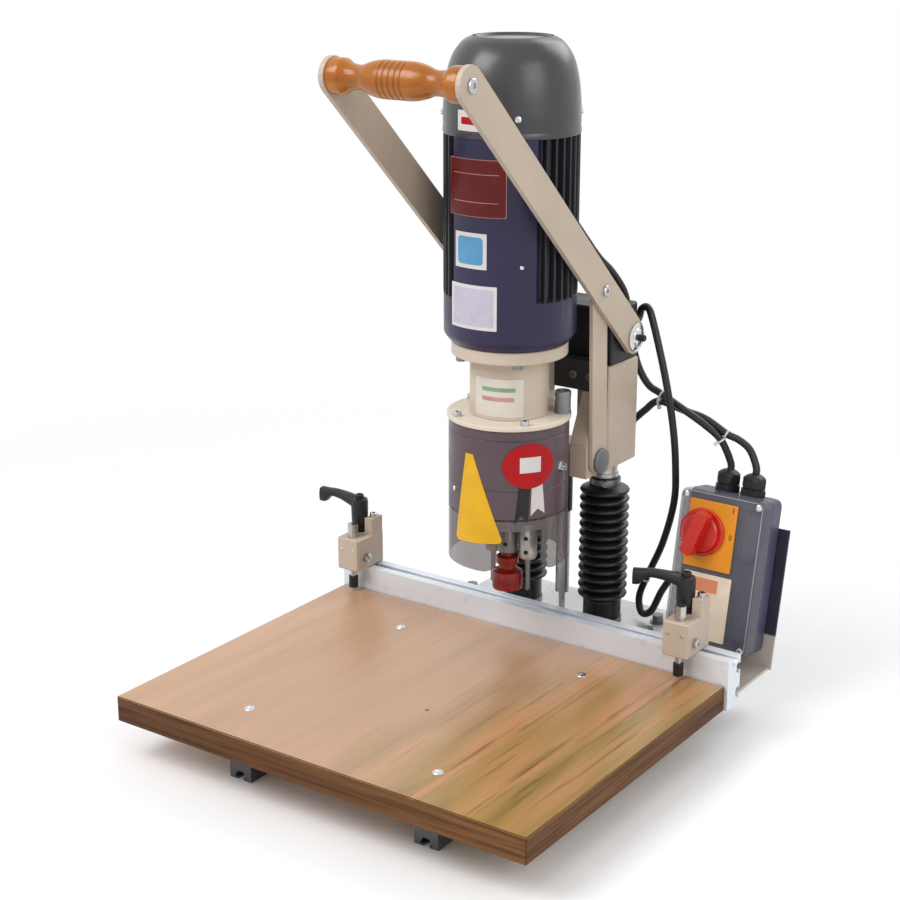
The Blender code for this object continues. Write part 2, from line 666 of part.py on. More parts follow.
def castings(look):
    """Bell housing with its neck, gearbox with its lid, and the chip guard."""
    centre = (0, HEAD_Y, 0)
    seat = FLANGE_BOTTOM - NECK_FILLET
    bell = lathe("bell_housing", [
        (NECK_BORE, NECK_BOTTOM), (NECK_RADIUS, NECK_BOTTOM), (NECK_RADIUS, seat),
        (NECK_RADIUS + NECK_FILLET, FLANGE_BOTTOM), (FLANGE_RADIUS, FLANGE_BOTTOM), (FLANGE_RADIUS, FLANGE_TOP),
        (MOTOR_SHAFT + CLEAR, FLANGE_TOP), (MOTOR_SHAFT + CLEAR, FLANGE_TOP - FLANGE_SEAT),
        (NECK_BORE, FLANGE_TOP - FLANGE_SEAT)], look["cream"], "head", centre)
    front = HEAD_Y + NECK_RADIUS - OVERRUN
    back = BLOCK_FRONT - CLEAR - CROSS_DEPTH - CLEAR
    join(bell, block("bell_rib", (-RIB_HALF, RIB_HALF), (front, back), (seat - RIB_HEIGHT, seat), None, "head"))
    bore = SPINDLE_RADIUS + CLEAR
    edge = LID_RADIUS - LID_CHAMFER
    lid = lathe("gearbox_lid", [(bore, LID_BOTTOM), (LID_RADIUS, LID_BOTTOM), (LID_RADIUS, LID_TOP - LID_CHAMFER),
                                (edge, LID_TOP), (bore, LID_TOP)], look["cream"], "head", centre)
    foot = LID_TOP - LID_CHAMFER
    stud = [(0, foot), (STUD_RADIUS, foot), (STUD_RADIUS, LID_TOP + STUD_HEIGHT), (0, LID_TOP + STUD_HEIGHT)]
    join(lid, lathe("lid_stud", stud, None, "head", (STUD_X, HEAD_Y + STUD_BACK, 0), steps=SPINDLE_STEPS))
    top = GEARBOX_BOTTOM + GEARBOX_HEIGHT
    inner = GEARBOX_RADIUS - GEARBOX_WALL
    floor = GEARBOX_BOTTOM + GEARBOX_FLOOR
    gearbox = lathe("gearbox_housing", [
        (0, GEARBOX_BOTTOM), (GEARBOX_RADIUS - GEARBOX_CHAMFER, GEARBOX_BOTTOM),
        (GEARBOX_RADIUS, GEARBOX_BOTTOM + GEARBOX_CHAMFER), (GEARBOX_RADIUS, top), (inner, top), (inner, floor),
        (0, floor)], look["purple_grey"], "head", centre)
    low = GEARBOX_BOTTOM - OVERRUN
    drill(gearbox, bore, centre, low, floor + OVERRUN, carrier="head")
    for sign in (-1, 1):
        drill(gearbox, SIDE_RADIUS + CLEAR, (sign * SIDE_X, HEAD_Y + SIDE_BACK, 0), low, floor + OVERRUN,
              carrier="head", steps=GLAND_STEPS)
    top = GEARBOX_BOTTOM - CLEAR
    wall = GEARBOX_RADIUS - GUARD_WALL
    guard = lathe("chip_guard", [(wall, GUARD_BOTTOM), (GEARBOX_RADIUS, GUARD_BOTTOM), (GEARBOX_RADIUS, top),
                                 (wall, top)], look["smoke"], "head", centre)
    half = GUARD_WINDOW_WIDTH / 2
    window = block("guard_window", (0, GEARBOX_RADIUS + OVERRUN), (-half, half),
                   (GUARD_BOTTOM - OVERRUN, GUARD_WINDOW_TOP), None, "head")
    window.data.transform(Matrix.Translation(ORIGINS["head"][1]))
    window.data.transform(Matrix.Rotation(GUARD_WINDOW_ANGLE, 4, "Z"))
    window.data.transform(Matrix.Translation(Vector(centre) - ORIGINS["head"][1]))
    cut(guard, window)


def motor_ring(band):
    """(x, y) points round the motor: plain band, or fins with the smooth panel."""
    points = []
    for step in range(PANEL_STEPS + 1):
        angle = PANEL_FROM + (PANEL_TO - PANEL_FROM) * step / PANEL_STEPS
        points.append(ray(angle, MOTOR_RADIUS))
    span = 2 * math.pi - (PANEL_TO - PANEL_FROM)
    pitch = span / (FIN_COUNT + 1)
    half = pitch * FIN_FILL_SHARE / 2
    for fin in range(FIN_COUNT):
        middle = PANEL_TO + pitch * (fin + 1)
        for side, radius in ((-1, FIN_ROOT), (-1, FIN_TIP), (1, FIN_TIP), (1, FIN_ROOT)):
            lean = half if radius == FIN_ROOT else half / 2
            points.append(ray(middle + side * lean, MOTOR_RADIUS if band else radius))
    return points


def motor(look):
    """Finned housing, winding, rotor, fan, fan cover and terminal box."""
    centre = Vector((0, HEAD_Y, 0))
    plain, finned = motor_ring(True), motor_ring(False)
    shoulder = MOTOR_BOTTOM + MOTOR_BAND
    inner = [tuple(Vector(point).normalized() * MOTOR_BORE) for point in plain]
    loops = ((plain, MOTOR_BOTTOM), (plain, shoulder), (finned, shoulder + MOTOR_SHOULDER),
             (finned, MOTOR_TOP), (inner, MOTOR_TOP), (inner, MOTOR_BOTTOM))
    bm = bmesh.new()
    rings = [[bm.verts.new(centre + Vector((x, y, height))) for x, y in points] for points, height in loops]
    count = len(plain)
    for first, second in zip(rings, rings[1:] + rings[:1]):
        for step in range(count):
            following = (step + 1) % count
            bm.faces.new((first[step], first[following], second[following], second[step]))
    add("motor_housing", bm, look["indigo"], "head", SOFT_EDGE)

    outer = MOTOR_BORE - CLEAR
    bore = outer - STATOR_WALL
    low = MOTOR_BOTTOM + STATOR_RISE
    lathe("stator_winding", [(bore, low), (outer, low), (outer, low + STATOR_LENGTH), (bore, low + STATOR_LENGTH)],
          look["copper"], "head", centre, steps=SPINDLE_STEPS)

    drum = bore - ROTOR_GAP
    low = MOTOR_BOTTOM + ROTOR_RISE
    foot, head = MOTOR_BOTTOM - SHAFT_DROP, MOTOR_TOP + SHAFT_RISE
    lathe("rotor", [(0, foot), (MOTOR_SHAFT, foot), (MOTOR_SHAFT, low), (drum, low), (drum, low + ROTOR_LENGTH),
                    (MOTOR_SHAFT, low + ROTOR_LENGTH), (MOTOR_SHAFT, head), (0, head)],
          look["steel"], "drive", centre, steps=SPINDLE_STEPS)
    turn = 2 * math.pi / FAN_BLADES
    blades = []
    for blade in range(FAN_BLADES):
        half = turn * FAN_BLADE_SHARE / 2
        for side, radius in ((-1, FAN_HUB), (-1 / 2, FAN_TIP), (1 / 2, FAN_TIP), (1, FAN_HUB)):
            blades.append(ray(turn * blade + side * half, radius, centre.xy))
    low = head + CLEAR
    prism("cooling_fan", blades, "Z", low, low + FAN_HEIGHT, look["black"], "drive")

    lathe("fan_cover", cover_profile(), look["slate"], "head", centre)
    x = (TERMINAL_X - TERMINAL_WIDTH / 2, TERMINAL_X + TERMINAL_WIDTH / 2)
    box = block("terminal_box", x, (TERMINAL_FRONT, TERMINAL_BACK),
                (TERMINAL_BOTTOM, TERMINAL_BOTTOM + TERMINAL_HEIGHT), look["dark_grey"], "head", TERMINAL_BEVEL)
    saddle = (FIN_TIP + CLEAR) / math.cos(math.pi / ROUND_STEPS)
    drill(box, saddle, centre, TERMINAL_BOTTOM - OVERRUN, TERMINAL_BOTTOM + TERMINAL_HEIGHT + OVERRUN,
          carrier="head", steps=ROUND_STEPS)


COVER_SHARES = ((1.0, 0.40), (0.965, 0.63), (0.88, 0.82), (0.74, 0.945), (0.60, 1.0))


def cover_profile():
    """Outer dome down to the rim, then the inner skin back up."""
    outer = [(COVER_RADIUS * out, COVER_BOTTOM + COVER_HEIGHT * up) for out, up in COVER_SHARES]
    inner_radius = COVER_RADIUS - COVER_WALL
    inner_height = COVER_HEIGHT - COVER_RECESS - COVER_WALL
    inner = [(inner_radius * out, COVER_BOTTOM + inner_height * up) for out, up in COVER_SHARES]
    recess = COVER_TOP - COVER_RECESS
    return ([(0, recess), (COVER_CROWN, recess), (COVER_CROWN + COVER_RECESS, COVER_TOP)] + outer[::-1]
            + [(COVER_RADIUS, COVER_BOTTOM), (inner_radius, COVER_BOTTOM)] + inner + [(0, recess - COVER_WALL)])


def gear(name, centre, phase, carrier):
    """A spur gear's solid, to be joined to its shaft."""
    turn = 2 * math.pi / TEETH
    points = []
    for tooth in range(TEETH):
        middle = phase + turn * tooth
        for side, radius, share in ((-1, GEAR_PITCH - TOOTH_DOWN, TOOTH_ROOT_SHARE),
                                    (-1, GEAR_PITCH + TOOTH_UP, TOOTH_TIP_SHARE),
                                    (1, GEAR_PITCH + TOOTH_UP, TOOTH_TIP_SHARE),
                                    (1, GEAR_PITCH - TOOTH_DOWN, TOOTH_ROOT_SHARE)):
            points.append(ray(middle + side * turn * share / 2, radius, centre))
    return prism(name, points, "Z", GEAR_BOTTOM, GEAR_BOTTOM + GEAR_THICK, None, carrier)


def spindles(look):
    """Centre spindle with the cup bit, and two geared side spindles with thin bits."""
    centre = Vector((0, HEAD_Y, 0))
    top = MOTOR_BOTTOM - SHAFT_DROP - CLEAR
    chamfer = CHUCK_RADIUS - CHUCK_CHAMFER
    main = lathe("centre_spindle", [
        (0, CHUCK_BOTTOM), (chamfer, CHUCK_BOTTOM), (CHUCK_RADIUS, CHUCK_BOTTOM + CHUCK_CHAMFER),
        (CHUCK_RADIUS, CHUCK_TOP), (SPINDLE_RADIUS, CHUCK_TOP), (SPINDLE_RADIUS, top), (0, top)],
        look["steel"], "drive", centre, steps=SPINDLE_STEPS)
    join(main, gear("centre_gear", centre.xy, 0, "drive"))
    shank = CHUCK_BOTTOM - CLEAR
    rim = CUP_BOTTOM + CUP_HEIGHT
    lathe("cup_bit", [(0, CUP_BOTTOM - CUP_SPUR), (SPUR_RADIUS, CUP_BOTTOM), (CUP_RADIUS, CUP_BOTTOM),
                      (CUP_RADIUS, rim), (CUP_SHANK, rim + CUP_SHOULDER), (CUP_SHANK, shank), (0, shank)],
          look["red"], "drive", centre, steps=COLUMN_STEPS)
    tooth = 2 * math.pi / TEETH
    for name, sign in (("left", -1), ("right", 1)):
        place = Vector((sign * SIDE_X, HEAD_Y + SIDE_BACK, 0))
        heading = math.atan2(SIDE_BACK, sign * SIDE_X)
        shaft = lathe(name + "_spindle", [
            (0, CHUCK_BOTTOM), (SIDE_CHUCK, CHUCK_BOTTOM), (SIDE_CHUCK, CHUCK_TOP), (SIDE_RADIUS, CHUCK_TOP),
            (SIDE_RADIUS, SIDE_TOP), (0, SIDE_TOP)], look["steel"], name + "_drive", place, steps=SPINDLE_STEPS)
        phase = heading + math.pi + tooth / 2 + heading
        join(shaft, gear(name + "_gear", place.xy, phase, name + "_drive"))
        shank = CHUCK_BOTTOM - CLEAR
        lathe(name + "_bit", [(0, BIT_BOTTOM - BIT_POINT), (BIT_RADIUS, BIT_BOTTOM), (BIT_RADIUS, shank), (0, shank)],
              look["steel"], name + "_drive", place, steps=GLAND_STEPS)


def lever_point(reach):
    """(y, z) on the lever's centre line, at a distance from its pivot."""
    return PIVOT_Y - reach * math.cos(LEVER_ANGLE), PIVOT_Z + reach * math.sin(LEVER_ANGLE)


def lever(look):
    """Two arms on pins at the beam's ends, a turned grip between them, and two links."""
    pivot, tip, knee = (PIVOT_Y, PIVOT_Z), lever_point(LEVER_LENGTH), lever_point(LINK_REACH)
    outer = ARM_INNER + ARM_THICK
    link_outer = ARM_INNER - CLEAR
    link_inner = link_outer - LINK_THICK
    foot = (LINK_FOOT_Y, LINK_FOOT_Z)
    for name, sign in (("left", -1), ("right", 1)):
        def span(near, far):
            return sorted((sign * near, sign * far))
        arm = prism(name + "_arm", pill(pivot, tip, ARM_WIDTH / 2), "X", *span(ARM_INNER, outer),
                    look["cream"], "lever")
        for place, radius in ((pivot, PIN_RADIUS), (tip, ROD_RADIUS), (knee, LINK_PIN)):
            drill(arm, radius + CLEAR, (0, *place), *span(ARM_INNER - OVERRUN, outer + OVERRUN), "X", "lever",
                  GLAND_STEPS)
        start = BEAM_HALF + CLEAR
        profile = [(0, start), (COLLAR_RADIUS, start), (COLLAR_RADIUS, ARM_INNER - CLEAR),
                   (PIN_RADIUS, ARM_INNER - CLEAR), (PIN_RADIUS, outer + CLEAR), (WASHER_RADIUS, outer + CLEAR),
                   (WASHER_RADIUS, outer + WASHER_THICK), (STUB_RADIUS, outer + WASHER_THICK),
                   (STUB_RADIUS, outer + WASHER_THICK + STUB_LENGTH), (0, outer + WASHER_THICK + STUB_LENGTH)]
        lathe(name + "_lever_pin", [(radius, sign * out) for radius, out in profile], look["steel"],
              centre=(0, *pivot), axis="X", steps=GLAND_STEPS)
        link = prism(name + "_link", pill(foot, knee, LINK_WIDTH / 2), "X", *span(link_inner, link_outer),
                     look["cream"], "links")
        for tag, place, near, far in (("upper", knee, link_outer - ROOT, outer),
                                      ("lower", foot, link_inner - LINK_PIN_LENGTH, link_inner + ROOT)):
            pin = [(0, sign * near), (LINK_PIN, sign * near), (LINK_PIN, sign * far), (0, sign * far)]
            join(link, lathe(name + "_link_" + tag, pin, None, "links", (0, *place), "X", GLAND_STEPS))
    rod = [(0, -outer), (ROD_RADIUS, -outer), (ROD_RADIUS, outer), (0, outer)]
    lathe("handle_rod", rod, look["steel"], "lever", (0, *tip), "X", GLAND_STEPS)
    lathe("handle_grip", grip_profile(), look["wood_handle"], "lever", (0, *tip), "X", GRIP_STEPS)


GRIP_SHARES = ((1.0, "end"), (0.80, "end"), (0.74, "waist"), (0.50, "waist"), (0.40, "bead"), (0.22, "bulge"),
               (0.16, "bulge"), (0.12, "bulge"), (0.08, "bulge"), (0.0, "bulge"))
GRIP_GROOVES_AT = (0.16, 0.08)


def grip_profile():
    """Half the grip's outline by shares of its length, mirrored, with its bore."""
    half = ARM_INNER - CLEAR
    sizes = {"end": GRIP_END, "waist": GRIP_WAIST, "bead": GRIP_BEAD, "bulge": GRIP_BULGE}
    right = []
    for share, size in GRIP_SHARES:
        dip = GRIP_GROOVE if share in GRIP_GROOVES_AT or share == 0 else 0
        right.append((sizes[size] - dip, half * share))
    outline = right + [(radius, -along) for radius, along in reversed(right[:-1])]
    bore = ROD_RADIUS + CLEAR
    return [(bore, half)] + outline + [(bore, -half)]


def stop(name, x, clamp_turn, look):
    """A stop that slides along the fence, with its drop pin and clamp lever."""
    carrier, pin_carrier, clamp_carrier = name + "_stop", name + "_pin", name + "_clamp"
    half = STOP_WIDTH / 2
    body = block(name + "_stop_block", (x - half, x + half), (-STOP_AHEAD, FENCE_DEPTH), (STOP_BOTTOM, STOP_TOP),
                 look["cream"], carrier, STOP_BEVEL)
    post = block(name + "_post", (x + POST_NEAR, x + POST_FAR), (POST_FRONT, POST_BACK),
                 (STOP_TOP - OVERRUN, STOP_TOP + POST_HEIGHT), None, carrier)
    join(body, post)
    drill(body, STOP_PIN_RADIUS + CLEAR, (x, STOP_PIN_Y, 0), STOP_BOTTOM - OVERRUN, STOP_TOP + OVERRUN,
          carrier=carrier, steps=GLAND_STEPS)
    hub = (x + CLAMP_X, CLAMP_Y, 0)
    drill(body, CLAMP_STUD + CLEAR, hub, STOP_TOP - CLAMP_STUD_DEPTH - OVERRUN, STOP_TOP + OVERRUN,
          carrier=carrier, steps=GLAND_STEPS)
    low = BOARD_TOP + TIP_LIFT
    lathe(name + "_pin_tip", [(0, low), (TIP_RADIUS, low), (TIP_RADIUS, low + TIP_HEIGHT), (0, low + TIP_HEIGHT)],
          look["rubber"], pin_carrier, (x, STOP_PIN_Y, 0), steps=GLAND_STEPS)
    foot = low + TIP_HEIGHT + CLEAR
    top = STOP_SEAT + STOP_PIN_HEAD_HEIGHT
    lathe(name + "_stop_pin", [(0, foot), (STOP_PIN_RADIUS, foot), (STOP_PIN_RADIUS, STOP_SEAT),
                               (STOP_PIN_HEAD, STOP_SEAT), (STOP_PIN_HEAD, top), (0, top)],
          look["steel"], pin_carrier, (x, STOP_PIN_Y, 0), steps=GLAND_STEPS)
    top = STOP_SEAT + CLAMP_HUB_HEIGHT
    shoulder = top - (CLAMP_HUB - CLAMP_HUB_TOP)
    handle = lathe(name + "_clamp_lever", [
        (0, STOP_TOP - CLAMP_STUD_DEPTH), (CLAMP_STUD, STOP_TOP - CLAMP_STUD_DEPTH), (CLAMP_STUD, STOP_SEAT),
        (CLAMP_HUB, STOP_SEAT), (CLAMP_HUB, shoulder), (CLAMP_HUB_TOP, top), (0, top)],
        look["black"], clamp_carrier, hub, steps=CLAMP_STEPS)
    far = ray(math.pi + clamp_turn, CLAMP_ARM, hub)
    low = STOP_SEAT + CLAMP_ARM_BOTTOM
    near_radius = CLAMP_HUB - CLEAR
    arm = prism(name + "_clamp_arm", pill(hub[:2], far, near_radius, CLAMP_ARM_TIP), "Z", low, low + CLAMP_ARM_THICK,
                None, clamp_carrier)
    join(handle, arm)


def switch_box(look):
    """Base, clear lid, face plate and rotary knob, on a bracket behind the fence."""
    block("switch_box_base", (-BOX_HALF, BOX_HALF), (BASE_FRONT, BASE_BACK), (0, BOX_TALL), look["black"],
          "switch_box", BOX_BEVEL)
    lid = block("switch_box_lid", (-BOX_HALF, BOX_HALF), (0, BOX_LID_DEPTH), (0, BOX_TALL), look["smoke"],
                "switch_box", BOX_BEVEL)
    inside = BOX_HALF - BOX_WALL
    cut(lid, block("lid_room", (-inside, inside), (BOX_WALL, BOX_LID_DEPTH + OVERRUN),
                   (BOX_WALL, BOX_TALL - BOX_WALL), None, "switch_box"))
    block("switch_plate", (FACE_LEFT, FACE_RIGHT), (-CLEAR - FACE_THICK, -CLEAR), (FACE_BOTTOM, FACE_TOP),
          look["yellow"], "switch_box")
    back = -CLEAR - FACE_THICK - CLEAR
    front = back - KNOB_DISC
    knob = lathe("switch_knob", [(0, back), (KNOB_RADIUS, back), (KNOB_RADIUS, front), (0, front)], look["red"],
                 "knob", axis="Y", steps=COLUMN_STEPS)
    grip = block("knob_grip", (-KNOB_GRIP_HALF, KNOB_GRIP_HALF), (front - KNOB_GRIP, front + ROOT),
                 (-KNOB_GRIP_LONG, KNOB_GRIP_LONG), None, "knob")
    join(knob, grip)
    for name, x in (("left_gland", GLAND_LEFT), ("right_gland", GLAND_RIGHT)):
        nut = GLAND_BOTTOM + GLAND_NUT_HEIGHT
        lathe(name, [(0, GLAND_BOTTOM), (GLAND_NUT, GLAND_BOTTOM), (GLAND_NUT, nut), (GLAND_NECK, nut),
                     (GLAND_NECK, GLAND_TOP), (0, GLAND_TOP)], look["black"], "switch_box", (x, GLAND_Y, 0),
              steps=GLAND_STEPS)
    back = BASE_BACK + CLEAR
    bracket = block("box_bracket", (BACK_LEFT, BACK_RIGHT), (back, back + BACK_THICK), (BACK_BOTTOM, BACK_TOP),
                    look["cream"], "switch_box")
    near = FENCE_DEPTH + CLEAR
    join(bracket, block("bracket_foot", (FOOT_LEFT, FOOT_RIGHT), (near, FOOT_BACK),
                        (FOOT_BOTTOM, FOOT_BOTTOM + FOOT_THICK), None))
    join(bracket, block("bracket_flange", (FOOT_LEFT, FOOT_RIGHT), (near, near + FOOT_THICK),
                        (FOOT_BOTTOM, FOOT_BOTTOM + FOOT_FLANGE), None))


def smooth_route(points, step):
    """Evenly spaced points on a smooth curve through a route."""
    knots = [Vector(point) for point in points]
    knots = [knots[0] * 2 - knots[1]] + knots + [knots[-1] * 2 - knots[-2]]
    fine = []
    parts = 24
    for index in range(1, len(knots) - 2):
        before, start, end, after = knots[index - 1:index + 3]
        for part in range(parts):
            t = part / parts
            fine.append(((start * 2) + (end - before) * t + (before * 2 - start * 5 + end * 4 - after) * t ** 2
                         + (start * 3 - before - end * 3 + after) * t ** 3) / 2)
    fine.append(knots[-2])
    length = sum((b - a).length for a, b in zip(fine, fine[1:]))
    gap = length / max(2, round(length / step))
    chosen, walked = [fine[0]], 0.0
    for a, b in zip(fine, fine[1:]):
        walked += (b - a).length
        if walked >= gap:
            chosen.append(b)
            walked -= gap
    if (chosen[-1] - fine[-1]).length < gap / 2:
        chosen.pop()
    return chosen + [fine[-1]], length


def cable(name, points, look, carrier="machine"):
    """A round cable along a smooth route."""
    holder, origin = ORIGINS[carrier]
    middle, length = smooth_route(points[1:-1], CABLE_STEP)
    chosen = [Vector(points[0])] + middle + [Vector(points[-1])]
    length += 2 * CABLE_STRAIGHT
    curve = bpy.data.curves.new(name, "CURVE")
    curve.dimensions = "3D"
    curve.bevel_depth = CABLE_RADIUS
    curve.bevel_resolution = 2
    curve.use_fill_caps = True
    line = curve.splines.new("POLY")
    line.points.add(len(chosen) - 1)
    for spot, point in zip(line.points, chosen):
        spot.co = (*(point - origin), 1)
    curve.materials.append(look)
    piece = bpy.data.objects.new(name, curve)
    bpy.context.collection.objects.link(piece)
    piece.parent = holder
    print(name, "length", round(length, 3), "m")


def cables(look):
    """Three leads between the motor, the head, the top beam and the switch box."""
    rise = CABLE_STRAIGHT
    left = [box_place(GLAND_LEFT, GLAND_Y, GLAND_TOP + CLEAR + up) for up in (rise, 0)]
    right = [box_place(GLAND_RIGHT, GLAND_Y, GLAND_TOP + CLEAR + up) for up in (rise, 0)]
    start = TERMINAL_X + TERMINAL_WIDTH / 2 + CLEAR
    lead = [(start, MOTOR_LEAD_Y, MOTOR_LEAD_Z), (start + rise, MOTOR_LEAD_Y, MOTOR_LEAD_Z)]
    cable("motor_cable", lead + list(MOTOR_ROUTE) + left, look["rubber"])
    start = BLOCK_BACK + CLEAR
    lead = [(SENSOR_X, start, SENSOR_Z), (SENSOR_X, start + rise, SENSOR_Z)]
    cable("sensor_cable", lead + list(SENSOR_ROUTE) + right, look["rubber"])
    start = BEAM_BACK + CLEAR
    lead = [(STOP_LEAD_X, start, STOP_LEAD_Z), (STOP_LEAD_X, start + rise, STOP_LEAD_Z)]
    end = [box_place(-BOX_HALF - CLEAR - out, GLAND_Y, STOP_LEAD_END) for out in (rise, 0)]
    cable("stop_cable", lead + list(STOP_ROUTE) + end, look["rubber"])


def build():
    clear_scene()
    look = looks()
    frame("machine", (-CENTRE_X, -CENTRE_Y, 0), None)
    knee = lever_point(LINK_REACH)
    frame("head", (0, HEAD_Y, 0))
    frame("drive", (0, HEAD_Y, 0), "head")
    for name, sign in (("left", -1), ("right", 1)):
        frame(name + "_drive", (sign * SIDE_X, HEAD_Y + SIDE_BACK, 0), "head")
    frame("lever", (0, PIVOT_Y, PIVOT_Z))
    frame("links", (0, *knee), "lever")
    for name, x in (("left", LEFT_STOP), ("right", RIGHT_STOP)):
        frame(name + "_stop", (x, 0, STOP_BOTTOM))
        frame(name + "_pin", (x, STOP_PIN_Y, STOP_BOTTOM), name + "_stop")
        frame(name + "_clamp", (x + CLAMP_X, CLAMP_Y, STOP_TOP), name + "_stop")
    frame("switch_box", (BOX_X, BOX_Y, BOX_Z), lean=BOX_LEAN)
    frame("knob", (KNOB_X, 0, KNOB_Z), "switch_box", local=True)
    rails(look)
    table(look)
    fence(look)
    columns(look)
    gas_spring(look)
    carriage(look)
    castings(look)
    motor(look)
    spindles(look)
    lever(look)
    stop("left", LEFT_STOP, 0.0, look)
    stop("right", RIGHT_STOP, RIGHT_CLAMP_TURN, look)
    switch_box(look)
    cables(look)


build()
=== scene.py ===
from math import asin, copysign, cos, degrees, pi, radians, sin, sqrt, tan

import bmesh
import bpy
from mathutils import Matrix, Vector


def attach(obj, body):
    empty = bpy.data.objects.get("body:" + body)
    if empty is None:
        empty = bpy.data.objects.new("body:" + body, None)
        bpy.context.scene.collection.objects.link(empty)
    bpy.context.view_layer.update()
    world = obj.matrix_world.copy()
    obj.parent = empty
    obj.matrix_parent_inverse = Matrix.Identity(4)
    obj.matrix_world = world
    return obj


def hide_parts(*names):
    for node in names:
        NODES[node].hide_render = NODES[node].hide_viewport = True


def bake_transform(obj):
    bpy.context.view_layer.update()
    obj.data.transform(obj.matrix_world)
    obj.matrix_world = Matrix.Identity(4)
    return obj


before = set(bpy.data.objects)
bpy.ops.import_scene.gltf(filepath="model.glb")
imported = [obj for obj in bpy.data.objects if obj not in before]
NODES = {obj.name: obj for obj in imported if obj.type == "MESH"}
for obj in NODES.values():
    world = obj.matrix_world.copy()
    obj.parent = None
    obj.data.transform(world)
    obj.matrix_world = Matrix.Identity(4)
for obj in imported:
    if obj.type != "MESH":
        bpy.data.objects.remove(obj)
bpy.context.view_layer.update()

# All pieces are drawn in the machine's layout: X = 0 on the head's axis, Y = 0 on the
# fence's front face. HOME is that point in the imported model, in metres.
HOME = Vector((0.021, 0.11515, 0.0))
HEAD_Y = -0.035
AXIS = (0, HEAD_Y, 0)
UP = (0, 0, 1)
SIDES = (("left", -1), ("right", 1))

# Radii of the gearbox, the bell's neck, the motor and its cover
DRUM = 0.069
NECK = 0.045
CASING = 0.0745
DOME = 0.0752

# Distance of the columns from the head's axis, and their place behind the fence
COLUMN_X = 0.057
COLUMN_Y = 0.089

WHITE = (1, 1, 1)
EVEN = (1, 1, 1)


# Node graphs

def graph(name):
    """A new material with its tree and shader."""
    look = bpy.data.materials.new(name)
    look.use_nodes = True
    tree = look.node_tree
    return look, tree, tree.nodes["Principled BSDF"]


def wire(tree, node, values=None, links=None):
    """Set a node's values and link its inputs, both by socket."""
    for socket, value in (values or {}).items():
        node.inputs[socket].default_value = value
    for socket, source in (links or {}).items():
        tree.links.new(source, node.inputs[socket])
    return node


def add(tree, kind, values=None, links=None):
    """A new shader node."""
    return wire(tree, tree.nodes.new("ShaderNode" + kind), values, links)


def noise(tree, scale, stretch=EVEN, detail=4.0, rough=0.5, warp=0.0):
    """Noise in the piece's own coordinates, stretched along an axis."""
    where = add(tree, "TexCoord")
    fit = add(tree, "Mapping", {"Scale": stretch}, {"Vector": where.outputs["Object"]})
    values = {"Scale": scale, "Detail": detail, "Roughness": rough, "Distortion": warp}
    return add(tree, "TexNoise", values, {"Vector": fit.outputs["Vector"]}).outputs["Fac"]


def coordinate(tree, axis):
    """The piece's own coordinate along an axis."""
    where = add(tree, "TexCoord")
    return add(tree, "SeparateXYZ", links={"Vector": where.outputs["Object"]}).outputs[axis]


def ramp(tree, value, *stops):
    """Colours by value: stops are (place, (r, g, b))."""
    made = add(tree, "ValToRGB", links={"Fac": value})
    band = made.color_ramp
    while len(band.elements) < len(stops):
        band.elements.new(0.5)
    for element, (place, colour) in zip(band.elements, stops):
        element.position = place
        element.color = (*colour, 1.0)
    return made.outputs["Color"]


def blend_colours(tree, share, first, second, how="MIX"):
    made = add(tree, "Mix")
    made.data_type = "RGBA"
    made.blend_type = how
    if isinstance(share, float):
        made.inputs[0].default_value = share
    else:
        tree.links.new(share, made.inputs[0])
    wire(tree, made, links={6: first, 7: second})
    return made.outputs[2]


def grey(tree, value, low, high, start=0.3, end=0.7):
    """A value carried from one range to another."""
    values = {"From Min": start, "From Max": end, "To Min": low, "To Max": high}
    return add(tree, "MapRange", values, {"Value": value}).outputs["Result"]


def times(colour, size):
    return tuple(min(1.0, part * size) for part in colour)


def dress(tree, shader, colour, gloss, values, height, strength, depth):
    """Give a shader its colour, roughness and other values, over a fine surface."""
    fine = add(tree, "Bump", {"Strength": strength, "Distance": depth}, {"Height": height})
    links = {"Base Color": colour, "Roughness": gloss, "Normal": fine.outputs["Normal"]}
    wire(tree, shader, values, links)


def paint(name, colour, rough=0.4, drift=0.1, scale=14, grain=260, depth=0.0001, strength=0.25,
          metal=0.0, stretch=EVEN, coat=0.0, dirt=0.0, shine=0.5):
    """Paint, plastic or metal: colour and gloss that drift, over a fine surface."""
    look, tree, shader = graph(name)
    tone = ramp(tree, noise(tree, scale, detail=5), (0.3, times(colour, 1 - drift)),
                (0.7, times(colour, 1 + drift)))
    if dirt:
        spots = noise(tree, scale * 6, detail=8, rough=0.7)
        soiled = ramp(tree, spots, (0.36, times(colour, 1 - dirt)), (0.5, WHITE))
        tone = blend_colours(tree, 1.0, tone, soiled, "DARKEN")
    gloss = grey(tree, noise(tree, scale * 3, stretch, detail=4), rough - 0.1, rough + 0.1)
    values = {"Metallic": metal, "Specular IOR Level": shine, "Coat Weight": coat, "Coat Roughness": 0.25}
    dress(tree, shader, tone, gloss, values, noise(tree, grain, stretch, detail=3), strength, depth)
    return look


def film(name, colour, rough=0.45, drift=0.1, scale=60, shine=0.5):
    """A printed label, or a bar on one."""
    return paint(name, colour, rough, drift, scale, 500, 0.00005, 0.15, shine=shine)


